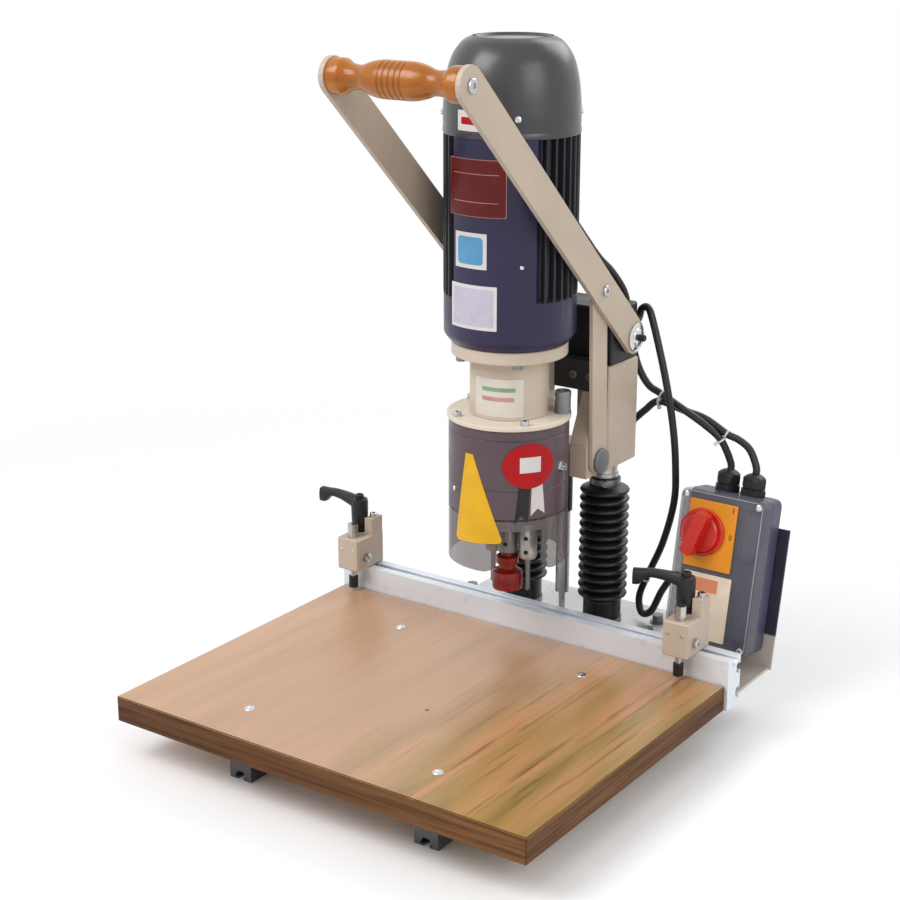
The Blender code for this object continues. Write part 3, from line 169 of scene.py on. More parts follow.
def timber(name, pale, dark, along, rough, coat, figure, streak, pores, shine):
    """Wood with figure and pores that run along one axis (0, 1 or 2)."""
    look, tree, shader = graph(name)
    stretch = [1.0, 1.0, 1.0]
    stretch[along] = 0.07
    tone = ramp(tree, noise(tree, figure * 3, stretch, detail=5, warp=0.4), (0.34, dark), (0.66, pale))
    stretch[along] = 0.02
    lines = noise(tree, pores, stretch, detail=5, rough=0.65)
    mark = tuple(1 - streak * share for share in (0.9, 1.0, 1.1))
    tone = blend_colours(tree, 1.0, tone, ramp(tree, lines, (0.38, mark), (0.56, WHITE)), "MULTIPLY")
    values = {"Specular IOR Level": shine, "Coat Weight": coat, "Coat Roughness": 0.15}
    dress(tree, shader, tone, grey(tree, lines, rough + 0.08, rough - 0.05), values, lines, 0.15, 0.0001)
    return look


def laminate(name):
    """The board's top: tan wood, more golden and streaked towards its right front; that shift along X is
    painted reflection.
    """
    look, tree, shader = graph(name)
    figure = noise(tree, 22, (1.0, 0.1, 1.0), detail=6, warp=0.5)
    tan = ramp(tree, figure, (0.3, (0.42, 0.245, 0.14)), (0.5, (0.485, 0.288, 0.17)),
               (0.7, (0.53, 0.325, 0.2)))
    gold = ramp(tree, figure, (0.3, (0.19, 0.11, 0.028)), (0.46, (0.33, 0.195, 0.055)),
                (0.6, (0.46, 0.22, 0.09)), (0.74, (0.42, 0.21, 0.085)))
    # Painted reflection: the colour moves from tan to golden and more streaked along X, following the board's
    # glare rather than its wood.
    painted_glare_shift = add(tree, "Math", {1: 0.35}, {0: noise(tree, 6, (1, 0.5, 1), detail=3), 2: coordinate(tree, "X")})
    painted_glare_shift.operation = "MULTIPLY_ADD"
    share = grey(tree, painted_glare_shift.outputs[0], 0.0, 1.0, 0.24, 0.38)
    tone = blend_colours(tree, share, tan, gold)
    lines = noise(tree, 150, (1, 0.025, 1), detail=6, rough=0.7)
    dark = blend_colours(tree, share, ramp(tree, lines, (0.3, (0.9, 0.86, 0.8)), (0.42, WHITE)),
                         ramp(tree, lines, (0.32, (0.42, 0.4, 0.3)), (0.46, WHITE)))
    tone = blend_colours(tree, 1.0, tone, dark, "MULTIPLY")
    values = {"Coat Weight": 0.25, "Coat Roughness": 0.2}
    dress(tree, shader, tone, grey(tree, figure, 0.26, 0.4), values, lines, 0.08, 0.0001)
    return look


def clear(name, colour, alpha, rough):
    """Tinted see-through plastic."""
    look, tree, shader = graph(name)
    tone = ramp(tree, noise(tree, 18, detail=4), (0.3, times(colour, 0.8)), (0.7, colour))
    gloss = grey(tree, noise(tree, 40, detail=5), rough, rough + 0.14)
    dress(tree, shader, tone, gloss, {"Alpha": alpha, "IOR": 1.5}, noise(tree, 200, detail=2), 0.06, 0.0001)
    look.surface_render_method = "BLENDED"
    return look


def split_at_height(name, lower, upper, height):
    """Colour that changes at a height, from the foot's colour to a darker one for the back."""
    look = paint(name, lower, 0.4, 0.06, 16, 300, 0.0002, 0.2, shine=0.35)
    tree = look.node_tree
    shader = tree.nodes["Principled BSDF"]
    old = shader.inputs["Base Color"].links[0].from_socket
    dark = ramp(tree, noise(tree, 20, detail=4), (0.3, times(upper, 0.8)), (0.7, upper))
    share = grey(tree, coordinate(tree, "Z"), 0.0, 1.0, height - 0.001, height + 0.001)
    wire(tree, shader, links={"Base Color": blend_colours(tree, share, old, dark)})
    return look


BOARD_TOP = laminate("board_top")
BRACKET = split_at_height("bracket_paint", (0.46, 0.41, 0.37), (0.032, 0.031, 0.052), 0.09)
EDGE_X, EDGE_Y = [
    timber(name, pale, dark, axis, 0.5, 0.0, 7, 0.55, 240, 0.15) for axis, name, pale, dark in (
        (0, "board_edge_front", (0.215, 0.095, 0.034), (0.085, 0.032, 0.01)),
        (1, "board_edge_side", (0.215, 0.095, 0.03), (0.08, 0.03, 0.008)))]
GRIP_WOOD = timber("grip_wood", (0.6, 0.225, 0.012), (0.37, 0.11, 0.005), 0, 0.24, 0.3, 9, 0.22, 160, 0.25)
ALU_X = paint("extrusion_x", (0.74, 0.78, 0.83), 0.36, 0.05, 9, 420, metal=0.25, stretch=(0.02, 1, 1),
              dirt=0.12)
ALU_Y = paint("extrusion_y", (0.1, 0.105, 0.115), 0.42, 0.12, 9, 420, metal=0.6, stretch=(1, 0.02, 1),
              dirt=0.2)
STEEL = paint("ground_steel", (0.62, 0.62, 0.62), 0.36, 0.1, 20, 380, metal=0.5, stretch=(0.05, 1, 1),
              dirt=0.3)
ROD = paint("turned_steel", (0.5, 0.5, 0.51), 0.24, 0.06, 30, 500, metal=1.0, stretch=(1, 1, 6))
TUBE = paint("spring_steel", (0.5, 0.49, 0.49), 0.32, 0.06, 30, 500, metal=0.6)
DULL = paint("dull_steel", (0.22, 0.22, 0.225), 0.42, 0.15, 40, 400, metal=0.8, dirt=0.3)
CAP = paint("cap_grey", (0.15, 0.155, 0.165), 0.4, 0.1, 30, 400, metal=0.2)
CHROME = paint("bright_screw", (0.68, 0.68, 0.7), 0.2, 0.05, 60, 300, strength=0.1, metal=1.0)
CREAM = paint("cream_paint", (0.505, 0.412, 0.322), 0.4, 0.05, 16, 300, 0.0002, 0.2, dirt=0.08, shine=0.35)
# cream_bell_shaded is the cream casting paint made darker: painted shade on the bell under the motor.
CREAM_PALE, CREAM_BELL_SHADED = [
    paint(name, colour, 0.42, 0.06, 20, 180, 0.0003, 0.35, dirt=0.08, shine=0.35)
    for name, colour in (("cream_casting", (0.69, 0.605, 0.5)), ("cream_bell_shaded", (0.56, 0.465, 0.365)))]
BLACK_METAL = paint("black_paint", (0.014, 0.014, 0.015), 0.42, 0.2, 16, 240, 0.0002, 0.3, shine=0.35)
GREY_METAL = paint("dark_grey_paint", (0.036, 0.036, 0.036), 0.45, 0.2, 16, 240, 0.0002, 0.3, shine=0.35)
GEARBOX = paint("gearbox_paint", (0.092, 0.062, 0.072), 0.36, 0.22, 9, 260, 0.0002, coat=0.1, shine=0.35)
MOTOR = paint("motor_paint", (0.026, 0.021, 0.062), 0.4, 0.2, 9, 160, 0.0003, 0.35, coat=0.1, shine=0.3)
FINS = paint("fin_paint", (0.02, 0.02, 0.026), 0.42, 0.25, 9, 160, 0.0003, 0.35, shine=0.35)
COVER = paint("cover_paint", (0.04, 0.041, 0.044), 0.34, 0.2, 8, 200, 0.0002, coat=0.25, shine=0.4)
# cover_top_and_rim_highlight is the grey of the cover's top disc; on the cover's rim it is a painted
# highlight.
COVER_TOP_AND_RIM_HIGHLIGHT = paint("cover_top_and_rim_highlight", (0.26, 0.26, 0.265), 0.35, 0.1, 20, 200, metal=0.2)
RUBBER = paint("black_rubber", (0.008, 0.008, 0.008), 0.36, 0.25, 30, 320, 0.0002, 0.3, shine=0.4)
CABLE = paint("cable_sheath", (0.01, 0.01, 0.01), 0.38, 0.2, 30, 260, 0.0001, 0.2, shine=0.4)
BLACK_PLASTIC = paint("black_plastic", (0.01, 0.01, 0.011), 0.45, 0.2, 30, 700, 0.0003, 0.5, shine=0.35)
BOX_CASE = paint("box_case_plastic", (0.062, 0.058, 0.1), 0.4, 0.2, 20, 500, 0.0002, 0.4, shine=0.4)
RED_BIT = paint("red_bit_paint", (0.24, 0.006, 0.004), 0.3, 0.3, 60, 200, coat=0.2, dirt=0.3, shine=0.4)
RED_KNOB = paint("red_plastic", (0.58, 0.014, 0.007), 0.28, 0.12, 20, 300, coat=0.2, shine=0.4)
YELLOW = paint("yellow_plastic", (0.74, 0.275, 0.012), 0.34, 0.08, 20, 400, shine=0.35)
INSIDE = paint("box_inside", (0.045, 0.038, 0.072), 0.45, 0.4, 24, 200)
DEVICE = paint("switch_body", (0.1, 0.09, 0.12), 0.45, 0.3, 24, 200)
COPPER = paint("winding", (0.6, 0.28, 0.12), 0.4, 0.1, 40, 300, metal=1.0)
LID = clear("smoke_lid", (0.2, 0.195, 0.24), 0.4, 0.08)
# Painted highlight: pale clear plastic for the bright lines along the lid's edges.
LID_EDGE_HIGHLIGHT = clear("lid_edge_highlight", (0.5, 0.5, 0.54), 0.55, 0.08)
GUARD = clear("guard_plastic", (0.175, 0.155, 0.152), 0.58, 0.16)
PAPER = film("white_label", (0.66, 0.63, 0.62), drift=0.05, scale=40, shine=0.3)
LILAC = film("pale_label", (0.5, 0.47, 0.56), 0.4, 0.08, shine=0.3)
BLUE = film("blue_label", (0.1, 0.3, 0.52), 0.4, shine=0.3)
RED = film("red_label", (0.12, 0.0045, 0.004), 0.34, 0.2, 30, 0.3)
RED_BRIGHT = film("red_disc_label", (0.42, 0.002, 0.006), 0.34, 0.08, 30, 0.25)
YELLOW_LABEL = film("yellow_label", (0.74, 0.42, 0.012), 0.36, 0.08, 40, 0.3)
IVORY = film("ivory_label", (0.78, 0.65, 0.5), drift=0.06, scale=50)
NECK_LABEL = film("neck_label", (0.66, 0.6, 0.53), 0.42, 0.05, 50)
ORANGE = film("orange_bar", (0.66, 0.24, 0.11))
ROSE = film("rose_bar", (0.5, 0.24, 0.2))
GREEN = film("green_bar", (0.2, 0.33, 0.19))
NYLON = paint("clear_tie", (0.62, 0.62, 0.62), 0.3, 0.05, 60, 400)


# Shapes

def show(name, data, at=(0, 0, 0), turn=(0, 0, 0)):
    item = bpy.data.objects.new(name, data)
    item.location = at
    item.rotation_euler = turn
    bpy.context.collection.objects.link(item)
    return item


def put(name, bm, looks, body, nodes=(), slot=None, sharp=40, bevel=0.0, segments=2, ride=True, lean=False):
    """A mesh drawn in the layout, or in the box's own frame, becomes a piece on a body."""
    if lean:
        for vert in bm.verts:
            vert.co = boxed(vert.co)
    bmesh.ops.recalc_face_normals(bm, faces=bm.faces)
    bmesh.ops.translate(bm, vec=HOME, verts=bm.verts)
    mesh = bpy.data.meshes.new(name)
    bm.to_mesh(mesh)
    bm.free()
    mesh.shade_smooth()
    if not bevel:
        mesh.set_sharp_from_angle(angle=radians(sharp))
    for one in looks if isinstance(looks, tuple) else (looks,):
        mesh.materials.append(one)
    piece = show(name, mesh)
    if bevel:
        round_edges(piece, bevel, segments)
    if ride:
        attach(piece, body)
    if nodes:
        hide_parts(*nodes)
    return piece


def round_edges(piece, width, segments=2, angle=32):
    edge = piece.modifiers.new("edges", "BEVEL")
    edge.width = width
    edge.segments = segments
    edge.limit_method = "ANGLE"
    edge.angle_limit = radians(angle)
    edge.harden_normals = True


def own(names, look, width=0.0, angle=32):
    """CAD nodes keep their shape, with their finish and their edges broken."""
    for name in names.split():
        node = NODES[name]
        node.data.materials.clear()
        node.data.materials.append(look)
        if width:
            node.modifiers.new("weld", "WELD").merge_threshold = 0.00002
            round_edges(node, width, angle=angle)


def soften(points, steps):
    """A closed outline whose corners (a, b, radius) are rounded."""
    made = []
    for index, point in enumerate(points):
        here = Vector(point[:2])
        size = point[2] if len(point) > 2 else 0
        if not size:
            made.append(tuple(here))
            continue
        before = Vector(points[index - 1][:2]) - here
        after = Vector(points[(index + 1) % len(points)][:2]) - here
        longest = min(before.length, after.length) * 0.49
        before.normalize()
        after.normalize()
        cut = min(size / tan(before.angle(after) / 2), longest)
        for step in range(steps + 1):
            t = step / steps
            made.append(tuple(here + before * cut * (1 - t) ** 2 + after * cut * t ** 2))
    return made


def through(points, steps=8):
    """Points on a smooth open curve through the given ones."""
    knots = [Vector(point) for point in points]
    knots = [knots[0] * 2 - knots[1]] + knots + [knots[-1] * 2 - knots[-2]]
    made = []
    for index in range(1, len(knots) - 2):
        a, b, c, d = knots[index - 1:index + 3]
        for step in range(steps):
            t = step / steps
            made.append((b * 2 + (c - a) * t + (a * 2 - b * 5 + c * 4 - d) * t ** 2
                         + (b * 3 - a - c * 3 + d) * t ** 3) / 2)
    return made + [knots[-2]]


def join(bm, rings, closed=False, capped=False):
    """Faces from each ring of vertices to the next, and back to the first or over both ends."""
    faces = []
    for first, second in zip(rings, rings[1:] + (rings[:1] if closed else [])):
        count = max(len(first), len(second))
        for step in range(count if count > 1 else 0):
            after = (step + 1) % count
            corners = [first[step], first[after]] if len(first) > 1 else [first[0]]
            corners += [second[after], second[step]] if len(second) > 1 else [second[0]]
            faces.append(bm.faces.new(corners))
    if capped:
        faces += [bm.faces.new(rings[0]), bm.faces.new(rings[-1][::-1])]
    return faces


def slab(bm, first, second):
    """The faces of a solid between two outlines."""
    return [bm.faces.new(first), bm.faces.new(second[::-1])] + join(bm, [first, second])


def turned(bm, profile, centre=(0, 0, 0), axis="Z", steps=72, hexed=()):
    """Add a solid turned from a closed loop of (radius, along). Rows in hexed are hexagons."""
    centre = Vector(centre)
    rings = []
    for row, (radius, along) in enumerate(profile):
        ring = []
        for step in range(steps if radius > 1e-7 else 1):
            angle = 2 * pi * step / steps
            size = radius
            if row in hexed:
                size = radius * cos(pi / 6) / cos(angle % (pi / 3) - pi / 6)
            u, v = size * cos(angle), size * sin(angle)
            spot = {"Z": (u, v, along), "X": (along, u, v), "Y": (v, along, u)}[axis]
            ring.append(bm.verts.new(centre + Vector(spot)))
        rings.append(ring)
    return join(bm, rings, closed=True)


def mm(*rows):
    """Rows of lengths in millimetres, in metres."""
    return [tuple(size / 1000 for size in row) for row in rows]


def lathe(name, profile, look, body, centre=(0, 0, 0), axis="Z", steps=72, hexed=(), **more):
    bm = bmesh.new()
    turned(bm, profile, centre, axis, steps, hexed)
    return put(name, bm, look, body, **more)


def shifted(rows, sign, start=0.0):
    """A profile's rows moved along its axis, or mirrored there."""
    return [(radius, start + sign * along) for radius, along in rows]


def pushed(bm, outline, axis, low, high, slot=0):
    """Add an outline pushed along an axis."""
    ends = []
    for at in (low, high):
        spots = {"X": lambda a, b: (at, a, b), "Y": lambda a, b: (a, at, b), "Z": lambda a, b: (a, b, at)}
        ends.append([bm.verts.new(spots[axis](*point[:2])) for point in outline])
    faces = slab(bm, *ends)
    for face in faces:
        face.material_index = slot
    return faces


def prism(name, outline, axis, low, high, look, body, **more):
    bm = bmesh.new()
    pushed(bm, outline, axis, low, high)
    return put(name, bm, look, body, **more)


def rectangle(x, z, radius):
    """A rectangle with rounded corners, from its two ranges."""
    return soften([(*corner, radius) for corner in patch(*x, *z)], 6)


def screw(bm, at, axis, radius, height, recess=0.5, head="socket", washer=0.0):
    """Add a screw head that stands on a point: a socket head, a hexagon or a dome."""
    flat = 0.0012 if washer else 0.0
    rows = [(0, 0, 0)]
    if washer:
        rows += [(washer, 0.0, 0), (washer, flat, 0)]
    side = 1 if head == "hex" else 0
    rows += [(radius, flat, side), (radius, flat + height - radius * 0.12, side)]
    if head == "dome":
        dome = ((0.92, 0.9), (0.75, 1.02), (0.5, 1.1))
        rows += [(radius * share, flat + height * up, 0) for share, up in dome]
    else:
        rows += [(radius * (0.88 if head == "socket" else 0.9), flat + height, 0)]
    if head == "hex":
        rows += [(0, flat + height * 1.02, 0)]
    else:
        top = rows[-1][1]
        foot = top - height * 0.5
        rows += [(radius * recess, top, 1), (radius * recess, foot, 1), (0, foot, 0)]
    start = len(bm.verts)
    turned(bm, [row[:2] for row in rows], steps=24, hexed=[n for n, row in enumerate(rows) if row[2]])
    stand(bm, start, at, Vector(axis))


def stand(bm, start, at, axis):
    """Move what was drawn up the Z axis since a vertex, to a point and a direction."""
    bm.verts.ensure_lookup_table()
    turn = Vector(UP).rotation_difference(axis.normalized()).to_matrix().to_4x4()
    bmesh.ops.transform(bm, matrix=Matrix.Translation(Vector(at)) @ turn, verts=bm.verts[start:])


def screws(name, places, look, body):
    """One piece for a set of screws, each with what screw() takes after the mesh."""
    bm = bmesh.new()
    for place in places:
        screw(bm, *place)
    put(name, bm, look, body, sharp=35)


def tube(bm, path, radius, steps):
    """Add a round tube along a smooth path, with frames carried along it."""
    normal = None
    rings = []
    for index, point in enumerate(path):
        ahead = path[min(index + 1, len(path) - 1)] - path[max(index - 1, 0)]
        ahead.normalize()
        if normal is None:
            normal = ahead.orthogonal().normalized()
        normal = (normal - ahead * normal.dot(ahead)).normalized()
        side = ahead.cross(normal)
        rings.append([bm.verts.new(point + (normal * cos(a) + side * sin(a)) * radius)
                      for a in (2 * pi * step / steps for step in range(steps))])
    join(bm, rings, capped=True)


def outward(angle):
    """A level direction at an angle in degrees: 0 is right, -90 is the front."""
    return Vector((cos(radians(angle)), sin(radians(angle)), 0))


def on_head(angle, radius, height):
    """A point and its outward direction on a cylinder round the head's axis (degrees)."""
    out = outward(angle)
    return Vector((0, HEAD_Y, height)) + out * radius, out


def around(angles, radius, height, axis, *rest):
    """Screw places round the head's axis, which point outwards where no axis is given."""
    spots = [on_head(angle, radius, height) for angle in angles]
    return [(at, axis or out, *rest) for at, out in spots]


def label(name, outline, radius, look, lift=0.0002, thick=0.0003):
    """A thin patch wrapped round the head's axis. Its outline is (degrees, height)."""
    bm = bmesh.new()
    bm.faces.new([bm.verts.new((point[0], point[1], 0)) for point in outline])
    low, high = min(p[0] for p in outline), max(p[0] for p in outline)
    cuts = max(2, int((high - low) / 3))
    for step in range(1, cuts):
        place = low + (high - low) * step / cuts
        bmesh.ops.bisect_plane(bm, geom=bm.verts[:] + bm.edges[:] + bm.faces[:], plane_co=(place, 0, 0),
                               plane_no=(1, 0, 0))
    raised = bmesh.ops.extrude_face_region(bm, geom=bm.faces[:])
    top = [item for item in raised["geom"] if isinstance(item, bmesh.types.BMVert)]
    for vert in bm.verts:
        vert.co, _ = on_head(vert.co.x, radius + lift + (thick if vert in top else 0.0), vert.co.y)
    put(name, bm, look, "head", sharp=30)


def patch(low, high, bottom, top, round_by=0.0):
    """A rectangle in (degrees, height), with small cut corners."""
    if not round_by:
        return [(low, bottom), (high, bottom), (high, top), (low, top)]
    across, up = round_by * 57.3 / CASING, round_by
    made = []
    for x, z, start in ((high, bottom, -90), (high, top, 0), (low, top, 90), (low, bottom, 180)):
        cx = x - across if x == high else x + across
        cz = z - up if z == top else z + up
        for step in range(5):
            angle = radians(start + 90 * step / 4)
            made.append((cx + across * cos(angle), cz + up * sin(angle)))
    return made


# Camera, light and floor

def studio():
    scene = bpy.context.scene
    lens = bpy.data.cameras.new("camera")
    lens.lens = 72.1
    lens.sensor_width = 36.0
    turn = (radians(72.39), 0.0, radians(35.13))
    scene.camera = show("camera", lens, (1.101, -1.5719, 0.9393), turn)
    world = bpy.data.worlds.new("studio")
    world.use_nodes = True
    tree = world.node_tree
    light = wire(tree, tree.nodes["Background"], {"Color": (0.97, 0.98, 1.0, 1.0), "Strength": 0.62})
    seen = add(tree, "Background", {"Color": (1.0, 1.0, 1.0, 1.0)})
    path = add(tree, "LightPath").outputs
    direct = add(tree, "Math", links={0: path["Is Camera Ray"], 1: path["Is Transmission Ray"]})
    direct.operation = "MAXIMUM"
    shown = add(tree, "Math", links={0: direct.outputs[0], 1: path["Is Glossy Ray"]})
    shown.operation = "MAXIMUM"
    choose = add(tree, "MixShader", links={0: shown.outputs[0], 1: light.outputs[0], 2: seen.outputs[0]})
    wire(tree, tree.nodes["World Output"], links={"Surface": choose.outputs[0]})
    scene.world = world
    scene.view_settings.view_transform = "Standard"
    for name, place, size, power in (("key", (-0.9, -1.6, 2.2), 1.4, 42), ("side", (2.0, -0.6, 1.5), 1.2, 16),
                                     ("back", (0.4, 1.8, 1.9), 1.5, 20)):
        lamp = bpy.data.lights.new(name, "AREA")
        lamp.size = size
        lamp.energy = power
        aim = Vector((0, 0, 0.35)) - Vector(place)
        show(name, lamp, place, aim.to_track_quat("-Z", "Y").to_euler())
    bm = bmesh.new()
    bmesh.ops.create_grid(bm, x_segments=4, y_segments=4, size=3)
    mesh = bpy.data.meshes.new("floor")
    bm.to_mesh(mesh)
    bm.free()
    mesh.materials.append(floor_look())
    floor = show("floor", mesh, (0, 0, -0.0005))


def floor_look():
    """A near-white floor that fades into the white backdrop away from the machine."""
    look = paint("floor", (0.9, 0.9, 0.9), 0.75, 0.01, 2, 40, 0.0002, 0.05)
    tree = look.node_tree
    where = add(tree, "TexCoord")
    far = add(tree, "VectorMath", links={0: where.outputs["Object"]})
    far.operation = "LENGTH"
    share = grey(tree, far.outputs["Value"], 0.0, 1.0, 0.45, 1.5)
    none = add(tree, "BsdfTransparent").outputs[0]
    mixed = add(tree, "MixShader", links={0: share, 1: tree.nodes["Principled BSDF"].outputs[0], 2: none})
    wire(tree, tree.nodes["Material Output"], links={"Surface": mixed.outputs[0]})
    return look


# Table, rails and fence

def table():
    wide, near, far = 0.27, -0.4103, -0.0003
    bm = bmesh.new()
    pushed(bm, [(-wide, near), (wide, near), (wide, far), (-wide, far)], "Z", 0.0453, 0.0753)
    bmesh.ops.bevel(bm, geom=bm.edges[:], offset=0.0011, segments=2, affect="EDGES")
    bmesh.ops.recalc_face_normals(bm, faces=bm.faces)
    for face in bm.faces:
        normal = face.normal
        if abs(normal.z) > 0.7:
            face.material_index = 0
        else:
            face.material_index = 1 if abs(normal.y) > abs(normal.x) else 2
    put("board", bm, (BOARD_TOP, EDGE_X, EDGE_Y), "base", ["work_board"], "board", sharp=25)
    places = [((x, y, 0.075), UP, 0.0062, 0.0009, 0.42)
              for x, y in ((-0.1275, -0.074), (-0.129, -0.3487), (0.1246, -0.3503), (0.1225, -0.066))]
    screws("board_screws", places, CHROME, "base")
    mark = mm((0, 75), (2.8, 75), (2.8, 75.45), (1.8, 75.6), (0, 75.6))
    lathe("centre_mark", mark, DULL, "base", (0.032, -0.241, 0), steps=24)
    own("left_rail right_rail", ALU_Y, 0.0004)
    own("fence_rail", ALU_X, 0.0005)
    own("base_plate spring_socket", STEEL)
    bolts = [((x, y, 0.0653), UP, 0.0075, tall, 0.5, "hex", 0.0098) for x, y, tall in (
        (-0.138, 0.094, 0.009), (0.0945, 0.08, 0.008), (0.1155, 0.1, 0.007), (0.108, 0.139, 0.009),
        (-0.108, 0.139, 0.009), (-0.1155, 0.06, 0.008))]
    screws("plate_bolts", bolts, DULL, "base")
    screws("fence_screws", [((x, 0.015, 0.099), UP, 0.0034, 0.003) for x in (-0.19, 0.12)], DULL, "base")


# Lift

def ribs(low, high, count, crest, root):
    """Half-round ribs between two heights."""
    made = []
    each = 8
    pitch = (high - low) / count
    for rib in range(count):
        for step in range(each):
            t = step / each
            swell = (0.5 - 0.5 * cos(2 * pi * t)) ** 0.55
            made.append((root + (crest - root) * swell, low + pitch * (rib + t)))
    return made


def bellows(side, sign):
    base, top = 0.0656, 0.2777
    x, y = sign * COLUMN_X, COLUMN_Y
    low, high, collar = 0.105, 0.249, 0.26
    profile = [(0.0135, base), (0.0228, base), (0.023, base + 0.001), (0.023, low - 0.002), (0.0225, low)]
    profile += ribs(low + 0.0004, high - 0.0004, 13, 0.0298, 0.0218)
    profile += [(0.02, high), (0.0178, high + 0.002), (0.0175, collar - 0.001), (0.0168, collar),
                (0.0135, collar)]
    piece = lathe(side + "_bellows_skin", profile, RUBBER, "base", (x, y, 0), steps=56,
                  nodes=[side + "_bellows"], slot="rubber", sharp=60, ride=False)
    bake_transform(piece)
    sleeve = soften([(0.0126, collar + 0.0003), (0.0158, collar + 0.0003, 0.0005), (0.0158, 0.265, 0.0005),
                     (0.0145, 0.2655), (0.0145, top, 0.0003), (0.0126, top)], 2)
    lathe(side + "_bush", sleeve, TUBE, "head", (x, y, 0), steps=48, sharp=35)
    for tag, body, z, radius, clip in (("foot", "base", base + 0.012, 0.0231, -35),
                                       ("neck", "head", 0.2548, 0.0176, -60)):
        bm = bmesh.new()
        rise = 0.0035
        turned(bm, soften([(radius, z - rise, 0.0003), (radius + 0.0011, z - rise, 0.0005),
                           (radius + 0.0011, z + rise, 0.0005), (radius, z + rise, 0.0003)], 2),
               (x, y, 0), steps=56)
        out = outward(clip)
        screw(bm, Vector((x, y, z)) + out * (radius + 0.0008), out, 0.0036, 0.004, 0.45)
        put(side + "_" + tag + "_clip", bm, DULL, body, sharp=35)


def lift():
    for side, sign in SIDES:
        bellows(side, sign)
    own("left_column right_column spring_rod handle_rod rotor", ROD)
    own("left_slide_block right_slide_block", CREAM, 0.0006, 50)
    own("top_beam", BLACK_METAL)
    own("cross_plate terminal_box", GREY_METAL)
    own("carriage_tie", CREAM, 0.0006)
    own("spring_tube", TUBE)
    sleeve = soften(mm((8.7, 205), (10.5, 205, 1), (10.5, 284.8, 0.6), (8.7, 284.8)), 3)
    lathe("spring_sleeve", sleeve, GREY_METAL, "head", (0, COLUMN_Y, 0), steps=40)
    bolts = [((sign * COLUMN_X, COLUMN_Y, 0.4701), UP, 0.0075, 0.0055, 0.5, "hex", 0.0105)
             for sign in (-1, 1)]
    screws("column_bolts", bolts, CHROME, "base")
    bolts = [((sign * x, 0.0403, 0.3936), (0, -1, 0), 0.0048, 0.0042)
             for sign in (-1, 1) for x in (0.04, 0.062)]
    screws("cross_bolts", bolts, DULL, "head")


# Lever

PIVOT = Vector((0.098, 0.432))
SWING = radians(43.2)


def reach(distance):
    """(y, z) on the lever's centre line."""
    return PIVOT.x - distance * cos(SWING), PIVOT.y + distance * sin(SWING)


def lever():
    tip, knee = reach(0.463), reach(0.099)
    own("left_arm right_arm", CREAM, 0.0007, 50)
    own("left_link right_link", CREAM, 0.0006, 50)
    for side, sign in SIDES:
        out = sign * 0.087
        bolts = [((out, *tip), (sign, 0, 0), 0.0075, 0.003, 0.42, "dome"),
                 ((out, *knee), (sign, 0, 0), 0.0062, 0.0032, 0.45)]
        screws(side + "_arm_screws", bolts, ROD, "lever")
        bm = bmesh.new()
        start = sign * 0.0783
        rows = mm((0, 0), (10, 0), (10, 2.4), (6, 2.4), (6, 9), (16.4, 9), (16.8, 9.6), (16.8, 11),
                  (15, 12), (11, 12.3), (10, 13.8), (6, 14.3), (0, 14.3))
        turned(bm, shifted(rows, sign, start), (0, *PIVOT), "X", 48)
        stub = mm((0, 14.1), (4, 14.1), (4, 20.5), (3.4, 21.4), (0, 21.4))
        for face in turned(bm, shifted(stub, sign, start), (0, *PIVOT), "X", 32):
            face.material_index = 1
        put(side + "_pivot", bm, (CHROME, BLACK_PLASTIC), "base", [side + "_lever_pin"], "steel", sharp=35)
        cap = mm((0, 80.9), (14.2, 80.9), (15, 81.7), (15, 84.2), (14, 85.7), (11, 86.4), (6, 86.6),
                 (0, 86.6))
        lathe(side + "_link_cap", shifted(cap, sign), CAP, "links", (0, 0.034, 0.297), "X", 56, sharp=30)
    half, belly = 0.0807, 0.0195
    shape = [(1.0, 0.0172), (0.985, 0.0184), (0.9, 0.0186), (0.83, 0.0182), (0.79, 0.0166), (0.73, 0.0142),
             (0.64, 0.0128), (0.54, 0.0132), (0.44, 0.016), (0.36, 0.0178), (0.28, 0.019), (0.21, belly)]
    groove = []
    for share in (0.17, 0.09, 0.0):
        groove += [(share + 0.016, belly), (share + 0.006, 0.0184), (share, 0.0182)]
        if share:
            groove += [(share - 0.006, 0.0184), (share - 0.016, belly)]
    outline = [(radius, half * share) for share, radius in through(shape, 5) + groove]
    outline += [(radius, -along) for radius, along in reversed(outline[:-1])]
    lathe("grip", [(0.0053, half)] + outline + [(0.0053, -half)], GRIP_WOOD, "lever", (0, *tip), "X", 72,
          nodes=["handle_grip"], slot="handle_wood", sharp=50)
    bm = bmesh.new()
    rim = [(0.0056, half - 0.0008), (0.015, half - 0.0008), (0.0165, half - 0.0004), (0.0165, half + 0.0002),
           (0.0056, half + 0.0002)]
    for sign in (-1, 1):
        turned(bm, shifted(rim, sign), (0, *tip), "X", 48)
    put("grip_washers", bm, PAPER, "lever")


# Head

